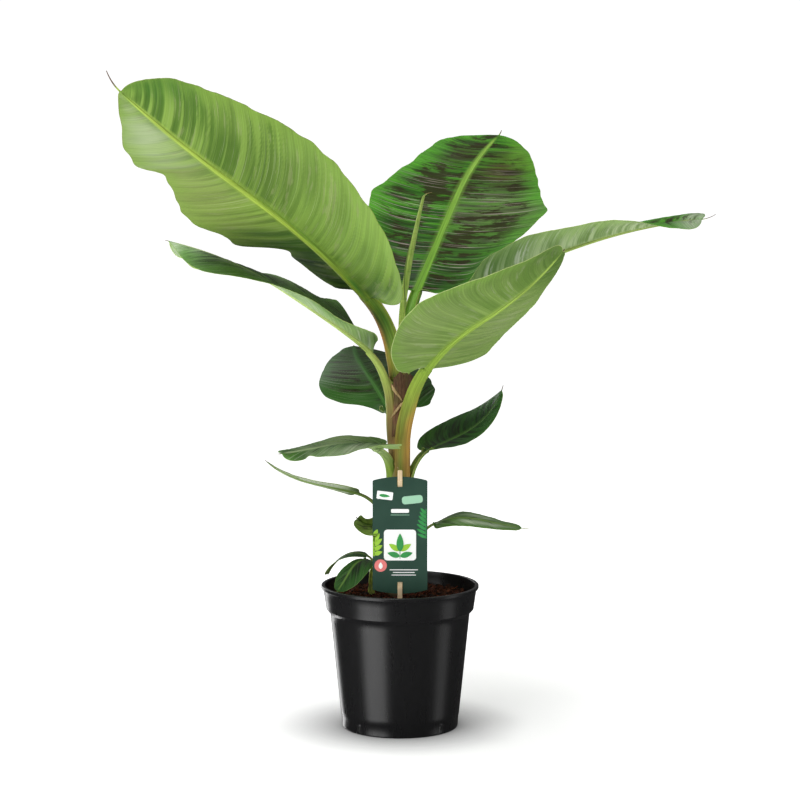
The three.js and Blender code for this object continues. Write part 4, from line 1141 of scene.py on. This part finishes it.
def pot():
    profile = pot_profile()
    rings = turned(profile[:, :1], profile[:, 1:], circle(192))
    piece = tube("nursery_pot", rings, pot_look(), "pot")
    cutters = []
    for at in circle(DRAIN_HOLES):
        x, y = DRAIN_REACH * math.cos(at), DRAIN_REACH * math.sin(at)
        ring = [(x + DRAIN_RADIUS * math.cos(b), y + DRAIN_RADIUS * math.sin(b)) for b in circle(32)]
        cutters.append(block(*([(*p, z) for p in ring] for z in (BELOW, 9))))
    top = [
        (NOTCH_HALF * math.cos(b), NOTCH_HEIGHT + NOTCH_ARCH * math.sin(b))
        for b in np.linspace(0.3, math.pi - 0.3, 9)
    ]
    low = [(-NOTCH_HALF, BELOW), (NOTCH_HALF, BELOW)]
    arch = [*low, (NOTCH_HALF, NOTCH_HEIGHT), *top, (-NOTCH_HALF, NOTCH_HEIGHT)]
    for at in circle(FOOT_NOTCHES) + TAU / FOOT_NOTCHES / 2:
        out, side = np.array([math.cos(at), math.sin(at)]), np.array([-math.sin(at), math.cos(at)])
        ends = ([(*(out * reach + side * u), z) for u, z in arch] for reach in NOTCH_REACH)
        cutters.append(block(*ends, flip=True))
    cut(piece, cutters)
    piece.data.shade_smooth()
    piece.data.set_sharp_from_angle(angle=math.radians(32))


SOIL_OUT = 80  # where the soil meets the pot's wall


def soil_height(x, y):
    r = np.hypot(x, y)
    slope = 1 - 0.4 * step(r, 0, SOIL_SHOULDER) - 0.6 * step(r, SOIL_SHOULDER, SOIL_OUT)
    rough = 1.6 * noise(x / 9, y / 9, 71) + 1.1 * noise(x / 4.2, y / 4.2, 72) + 0.6 * noise(x / 2, y / 2, 73)
    return SOIL_EDGE + SOIL_MOUND * slope + rough * (1 - 0.5 * step(r, SOIL_OUT - 8, SOIL_OUT)) - 0.8


def soil_look():
    look = Look("coco and bark", 0.9, 0.25)
    clump = look.grain(look.place(0.16, 0.16, 0.16), 1, 4, 0.6)
    fibre = look.grain(look.place(0.9, 0.25, 0.9), 1, 4, 0.7, 1.5)
    colour = look.mix(look.span(clump, 0.35, 0.65), rgb("26130c"), rgb("5c3020"))
    colour = look.cover(colour, "945438", fibre, 0.55, 0.75, 0.0, 0.8)
    colour = look.mix(1.0, colour, look.read("shade", "Color"), "MULTIPLY")
    return look.finish(colour, look.bump(fibre, 0.7), look.span(clump, 0.3, 0.7, 0.8, 0.95))


def soil_filling(look):
    """The potting mix, with a rough top."""
    r, a = np.append(np.linspace(1.2, 79, 66), 79.6)[::-1, None], circle(240)
    x, y = r * np.cos(a), r * np.sin(a)
    skirt = np.array([(30.0, 5.0), (61.0, 5.2), (74.0, 125.0), (78.4, 128.8)])  # radius and height
    rings = np.concatenate([turned(skirt[:, :1], skirt[:, 1:], a), np.stack([x, y, soil_height(x, y)], -1)])
    dents = 0.75 + 0.45 * noise(rings[..., 0] / 5, rings[..., 1] / 5, 74)
    shade = np.ones((dents.size + 2, 4))
    shade[:-2, :3] = dents.reshape(-1, 1)
    tube("soil_filling", rings, look, "soil", dict(shade=shade))


def rotation(angle, first, second):
    """A turn from one axis to another."""
    turn = np.eye(3)
    turn[first, first] = turn[second, second] = math.cos(angle)
    turn[second, first], turn[first, second] = math.sin(angle), -math.sin(angle)
    return turn


BIT_TRIES, BITS_OUT, TRUNK_CLEAR, SHOOT_CLEAR = 2600, 78.0, 18, 6  # no bit lies closer to a stem
BIT_CORNERS = np.array([(i, j, k) for i in (-1, 1) for j in (-1, 1) for k in (-1, 1)], float)
BIT_FACES = np.array([(0, 1, 3, 2), (4, 6, 7, 5), (0, 4, 5, 1), (2, 3, 7, 6), (0, 2, 6, 4), (1, 5, 7, 3)])


def soil_bits(look):
    """Loose bits of bark, with two fibres to each three of them, all round the stems."""
    rng = np.random.default_rng(5)
    points, faces, tint = [], [], []
    for n in range(BIT_TRIES):
        fibre = n % 5 < 2
        size = rng.uniform(0.25, 0.5, 3) if fibre else rng.uniform(0.5, 2.2, 3) * rng.uniform(0.6, 1.3)
        size[0] *= rng.uniform(8, 22) if fibre else rng.uniform(1.0, 2.2)
        r, a = (BITS_OUT - size[0] * 1.1) * math.sqrt(rng.uniform(0.02, 1)), rng.uniform(0, TAU)
        x, y = r * math.cos(a), r * math.sin(a)
        if math.hypot(x, y) < TRUNK_CLEAR or math.hypot(x - SHOOT_X, y) < SHOOT_CLEAR:
            continue
        turn, lean, spin = rng.uniform(0, TAU), rng.normal(0, 0.28 if fibre else 0.5), rng.uniform(0, TAU)
        shape = BIT_CORNERS * size * rng.uniform(0.65, 1.0, (8, 3))
        if fibre:
            shape[:, 2] += 0.12 * size[0] * (1 - (shape[:, 0] / size[0]) ** 2)
        shape = shape @ (rotation(turn, 0, 1) @ rotation(lean, 2, 0) @ rotation(spin, 1, 2)).T
        faces.append(BIT_FACES + len(points) * 8)
        points.append(shape + [x, y, float(soil_height(x, y)) + 0.3 + 0.3 * size[2]])
        shade = rng.uniform(0.45, 1.7) ** 1.3 * (1.35 if fibre else 1.0)
        warm = rng.uniform(0.9, 1.15)
        tint.append(np.tile([shade, shade * warm * 0.95, shade * warm * 0.9, 1.0], (8, 1)))
    data = dict(shade=np.vstack(tint))
    piece = make("soil_bits", np.vstack(points), [np.vstack(faces)], [look], "soil", data=data)
    piece.data.shade_flat()


# ---- label: a card with a plain generic design, held by a stick through its two slots ----

CARD_WIDTH, CARD_LOW, CARD_HIGH, CARD_ARCH, CARD_Y = 58.0, 154.0, 279.0, 4.0, -50.0
CARD_THICKNESS, SLOTS, SLOT_LENGTH, SLOT_WIDTH = 0.6, (162.4, 272.0), 8.0, 6.0
CARD_FRONT = CARD_Y - CARD_THICKNESS / 2
CARD_EDGE = 28.6  # the design stays this near the card's middle
PROUD = 0.1  # how far each layer of the design stands in front of the one before
STICK_WIDTH, STICK_THICKNESS, STICK_TOP = 5, 1.4, 286


def plate(name, outline, holes, front, thickness, look, node):
    """A flat closed plate that faces -Y, with its outline and holes as lists of (x, z)."""
    loops = [outline, *holes]
    triangles = np.array(tessellate_polygon([[Vector((x, z, 0)) for x, z in loop] for loop in loops]))
    flat = np.array([point for loop in loops for point in loop])
    a, b, c = (flat[triangles[:, k]] for k in range(3))
    clockwise = (b[:, 0] - a[:, 0]) * (c[:, 1] - a[:, 1]) - (b[:, 1] - a[:, 1]) * (c[:, 0] - a[:, 0]) < 0
    triangles[clockwise] = triangles[clockwise][:, ::-1]
    count = len(flat)
    faces, start = [triangles, triangles[:, ::-1] + count], 0
    for number, loop in enumerate(loops):
        k = start + np.arange(len(loop))
        after = np.roll(k, -1)
        area = sum(p[0] * q[1] - q[0] * p[1] for p, q in zip(loop, [*loop[1:], loop[0]]))
        quads = np.stack([k, k + count, after + count, after], -1)
        faces.append(quads[:, ::-1] if (area > 0) == (number > 0) else quads)
        start += len(loop)
    points = np.insert(np.vstack([flat, flat]), 1, np.repeat([front, front + thickness], count), axis=1)
    return make(name, points, faces, [look], node, sharp=40)


def laid(loop, x, z, tilt):
    """A shape turned by tilt degrees and moved to x, z."""
    c, s = math.cos(math.radians(tilt)), math.sin(math.radians(tilt))
    return [(x + c * p - s * q, z + s * p + c * q) for p, q in loop]


def rounded(x, z, width, height, radius, tilt=0.0, count=6):
    """A rectangle with round corners."""
    loop = []
    for right, up, start in ((1, 1, 0), (-1, 1, 90), (-1, -1, 180), (1, -1, 270)):
        corner = right * (width / 2 - radius), up * (height / 2 - radius)
        loop += arc(*corner, radius, start, start + 90, count)
    return laid(loop, x, z, tilt)


def disc(x, z, radius):
    return [(x + radius * math.cos(a), z + radius * math.sin(a)) for a in circle(36)]


def paddle(x, z, length, width, tilt):
    """A pointed leaf shape from its foot."""
    u = np.linspace(0, 1, 14)
    w = width / 2 * np.sin(np.pi * u**0.8) ** 0.8
    return laid([*zip(w, u * length), *zip(-w[-2:0:-1], u[-2:0:-1] * length)], x, z, tilt)


def card_look():
    look = Look("label card", 0.42, 0.45)
    grain = look.grain(look.place(1.6, 1.6, 1.6), 1, 2)
    clouds = look.grain(look.place(0.03, 0.03, 0.03), 1, 2)
    colour = look.mix(look.span(clouds, 0.3, 0.7), rgb("26473a"), rgb("2c4d3f"))
    return look.finish(colour, look.bump(grain, 0.03), look.span(grain, 0.3, 0.7, 0.38, 0.46))


def ink(name, code, second):
    look = Look("print " + name, 0.45, 0.4)
    grain = look.grain(look.place(0.5, 0.5, 0.5), 1, 2)
    return look.finish(look.mix(grain, rgb(code), rgb(second)), look.bump(grain, 0.02))


def motif(name, outline, look, layer=1):
    """A flat shape of the card's design, on its front."""
    front = CARD_FRONT - PROUD * layer
    plate("print_" + name, outline, [], front, PROUD * layer - 0.02, look, "label_card")


def label_card():
    u = np.linspace(-1, 1, 41)
    bow = CARD_ARCH * u * u + 0.6 * np.clip((np.abs(u) - 0.95) / 0.05, 0, 1) ** 2
    x = CARD_WIDTH / 2 * u
    outline = [*zip(x, CARD_LOW + bow), *zip(x[::-1], (CARD_HIGH - bow)[::-1])]
    a, b = SLOT_WIDTH / 2, SLOT_LENGTH / 2
    slots = [[(-a, z - b), (a, z - b), (a, z + b), (-a, z + b)] for z in SLOTS]
    look = card_look()
    plate("label_card_sheet", outline, slots, CARD_FRONT, CARD_THICKNESS, look, "label_card")


def card_design():
    white, mint, coral, lime, fern = (
        ink("white", "f4f5f2", "ffffff"),
        ink("mint", "9fd0b0", "9fd0b0"),
        ink("coral", "ea7f7c", "ea7f7c"),
        ink("lime", "a5d23f", "8ec233"),
        ink("fern green", "2f8f47", "3ba152"),
    )
    motif("strip", rounded(13, 254.5, 22, 8.5, 3.2, 6), mint)
    motif("tag", rounded(-16, 259, 17, 8.5, 1.0, -7), white)
    motif("tag_leaf", paddle(-22, 259.4, 11.5, 3.4, -97), fern, layer=2)
    motif("title_bar", rounded(0, 242.5, 19, 4, 1.2), white)
    motif("title_line", rounded(0, 238.2, 20, 0.5, 0.2), mint)
    motif("panel", rounded(0, 206, 34, 33, 3.5), white)
    motif("panel_stem", rounded(0, 198, 0.8, 13, 0.3), fern, layer=2)
    motif("panel_leaf", paddle(0, 199, 19.5, 7.5, 0), fern, layer=7)
    for k, (tilt, z) in enumerate([(58, 200), (-58, 200), (74, 194), (-74, 194)]):
        tint = (lime, fern)[k // 2]
        motif(f"panel_leaf_{k}", paddle(0.3 * (-1) ** (k + 1), z, 13.5, 6, tilt), tint, layer=3 + k)
    motif("disc", disc(-20.5, 184, 6.6), coral)
    motif("disc_drop", paddle(-20.5, 180.4, 7.2, 4.4, 0), white, layer=2)
    for k in range(3):
        motif(f"rule_{k}", rounded(4, 179.5 - 2.8 * k, 30 - 5 * (k % 2) - 2 * k, 0.9, 0.4), white)
    for k in range(7):
        leaflet = paddle(27.4, 214 + 4.2 * k, 11.5 - 0.7 * abs(k - 2), 3.2, 66 - 4 * k)
        motif(f"fern_{k}", [(min(x, CARD_EDGE), z) for x, z in leaflet], fern)
    motif("fern_stem", rounded(27.4, 229, 0.9, 32, 0.4), fern)
    for k in range(5):
        leaflet = paddle(-27.6, 196 + 4.6 * k, 11.5 - 1.1 * abs(k - 2), 4.8, -72 + 12 * k)
        motif(f"lobe_{k}", [(max(x, -CARD_EDGE), z) for x, z in leaflet], lime)
    motif("lobe_stem", rounded(-27.6, 205, 1.6, 22, 0.6), lime)


def stick_look():
    look = Look("stick wood", 0.7, 0.3)
    grain = look.grain(look.place(1.6, 1.6, 0.03), 1, 4, 0.65)
    rays = look.grain(look.place(5, 5, 0.2), 1, 2, 0.5)
    colour = look.mix(look.span(grain, 0.35, 0.7), rgb("e0cba8"), rgb("c4a47a"))
    colour = look.cover(colour, "a5855c", rays, 0.6, 0.75, 0.0, 0.5)
    return look.finish(colour, look.bump(grain, 0.15))


def label_stick():
    """The stick: in front of the card, behind it between the slots, and in front again."""
    away = CARD_THICKNESS / 2 + 0.3 + STICK_THICKNESS / 2
    reach = SLOT_LENGTH / 2 - 1
    z = np.linspace(SOIL_EDGE - 2, STICK_TOP, 150)[:, None]
    low, high = (step(z, slot - reach, slot + reach) for slot in SLOTS)
    y = lerp(CARD_Y - away, CARD_Y + away, low * (1 - high))
    section = np.array(rounded(0, 0, STICK_WIDTH, STICK_THICKNESS, 0.35, count=4)).T
    end = 1 - 0.25 * step(z, STICK_TOP - 0.8, STICK_TOP) ** 2
    across, deep = section[0] * end, y + section[1] * end + 0.05 * noise(z / 6, 0.3, 83)
    rings = np.stack(np.broadcast_arrays(across, deep, z), -1)
    tube("label_stick_wood", rings, stick_look(), "label_stick", sharp=45)


# ---- stage, light and camera, in metres ----

CAMERA_PLACE, CAMERA_DOWN, CAMERA_LENS, SENSOR_WIDTH = (0, -2.49, 0.621), 6.1, 105.12, 36.0
WHITE, SEEN_GLOW = (1, 1, 1, 1), 1.05
SKY_RISE, SKY_GLOW = (-0.1, 1.0), (0.04, 0.4)  # the sky's strength where a direction rises this much
FLOOR_HALF, CONTACT_SHADE = 30.0, 0.08
# name, azimuth, height, distance, width, tall, glow, and the height that it faces
SOFTBOXES = [
    ("overhead", -30, 2.0, 0.8, 1.2, 1.2, 4.4, 0.35),
    ("left", -46, 0.2, 1.7, 1.25, 2.4, 2.45, 0.2),
    ("right", 80, 0.2, 1.8, 0.7, 2.4, 0.75, 0.2),
    ("back", -152, 0.2, 1.7, 0.4, 2.4, 3.0, 0.2),
]


def floor():
    """A pale floor that glows more away from the plant, so that it ends in the white background."""
    corners = [(x * FLOOR_HALF, y * FLOOR_HALF, 0) for x, y in ((-1, -1), (1, -1), (1, 1), (-1, 1))]
    mesh = bpy.data.meshes.new("floor")
    mesh.from_pydata(corners, [], [(0, 1, 2, 3)])
    look = Look("pale floor", 0.7, 0.2)
    reach = look.node("VectorMath", look.place(), operation="LENGTH").outputs["Value"]  # in mm
    open_sky = look.node("AmbientOcclusion")
    open_sky.inputs["Distance"].default_value = CONTACT_SHADE
    lit = look.math("POWER", open_sky.outputs["AO"], 1.7)
    glow = look.math("MULTIPLY", look.span(reach, 120.0, 500.0, 0.5, 0.85), lit)
    look.shader.inputs["Emission Color"].default_value = WHITE
    look.feed(look.shader.inputs["Emission Strength"], glow)
    shade = look.math("MULTIPLY", lit, 0.84)
    mesh.materials.append(look.finish(look.vector(shade, shade, shade)))
    ground = bpy.data.objects.new("floor", mesh)
    ground.visible_glossy = False
    bpy.context.scene.collection.objects.link(ground)


def softbox(name, azimuth, height, distance, width, tall, glow, aim):
    """A soft light round the plant: azimuth 0 is in front of it and 90 to its right; aim is a height."""
    a = math.radians(azimuth)
    data = bpy.data.lights.new(name, "AREA")
    data.shape, data.size, data.size_y = "RECTANGLE", width, tall
    data.energy = glow * math.pi * width * tall
    light = bpy.data.objects.new(name, data)
    light.location = (distance * math.sin(a), -distance * math.cos(a), height)
    way = Vector((0, 0, aim)) - light.location
    light.rotation_euler = way.to_track_quat("-Z", "Y").to_euler()
    light.visible_camera = False
    bpy.context.scene.collection.objects.link(light)


def surroundings():
    """A white background for the camera, and for the plant a sky that is brighter towards the top."""
    world = bpy.data.worlds.new("studio")
    bpy.context.scene.world = world
    world.use_nodes = True
    tree = world.node_tree
    back = tree.nodes["Background"]
    back.inputs["Color"].default_value = WHITE
    split = tree.nodes.new("ShaderNodeSeparateXYZ")
    tree.links.new(tree.nodes.new("ShaderNodeTexCoord").outputs["Generated"], split.inputs[0])
    rise = tree.nodes.new("ShaderNodeMapRange")
    for socket, value in zip(rise.inputs[1:5], SKY_RISE + SKY_GLOW):
        socket.default_value = value
    tree.links.new(split.outputs[2], rise.inputs[0])
    seen = tree.nodes.new("ShaderNodeMapRange")
    seen.inputs["To Max"].default_value = SEEN_GLOW
    tree.links.new(tree.nodes.new("ShaderNodeLightPath").outputs["Is Camera Ray"], seen.inputs["Value"])
    tree.links.new(rise.outputs[0], seen.inputs["To Min"])
    tree.links.new(seen.outputs[0], back.inputs["Strength"])


def studio():
    surroundings()
    for row in SOFTBOXES:
        softbox(*row)
    camera = bpy.data.objects.new("camera", bpy.data.cameras.new("camera"))
    camera.data.sensor_width, camera.data.lens = SENSOR_WIDTH, CAMERA_LENS
    camera.location = CAMERA_PLACE
    camera.rotation_euler = (math.radians(90 - CAMERA_DOWN), 0, 0)
    scene = bpy.context.scene
    scene.collection.objects.link(camera)
    scene.camera = camera
    scene.view_settings.view_transform = "Standard"


for number, leaf in enumerate(LEAVES):
    leaf_sheet(leaf, 100 + 7 * number)
trunk()
papery_sheaths()
rolled_leaf()
side_shoot()
pot()
mix = soil_look()
soil_filling(mix)
soil_bits(mix)
label_card()
card_design()
label_stick()
floor()
studio()
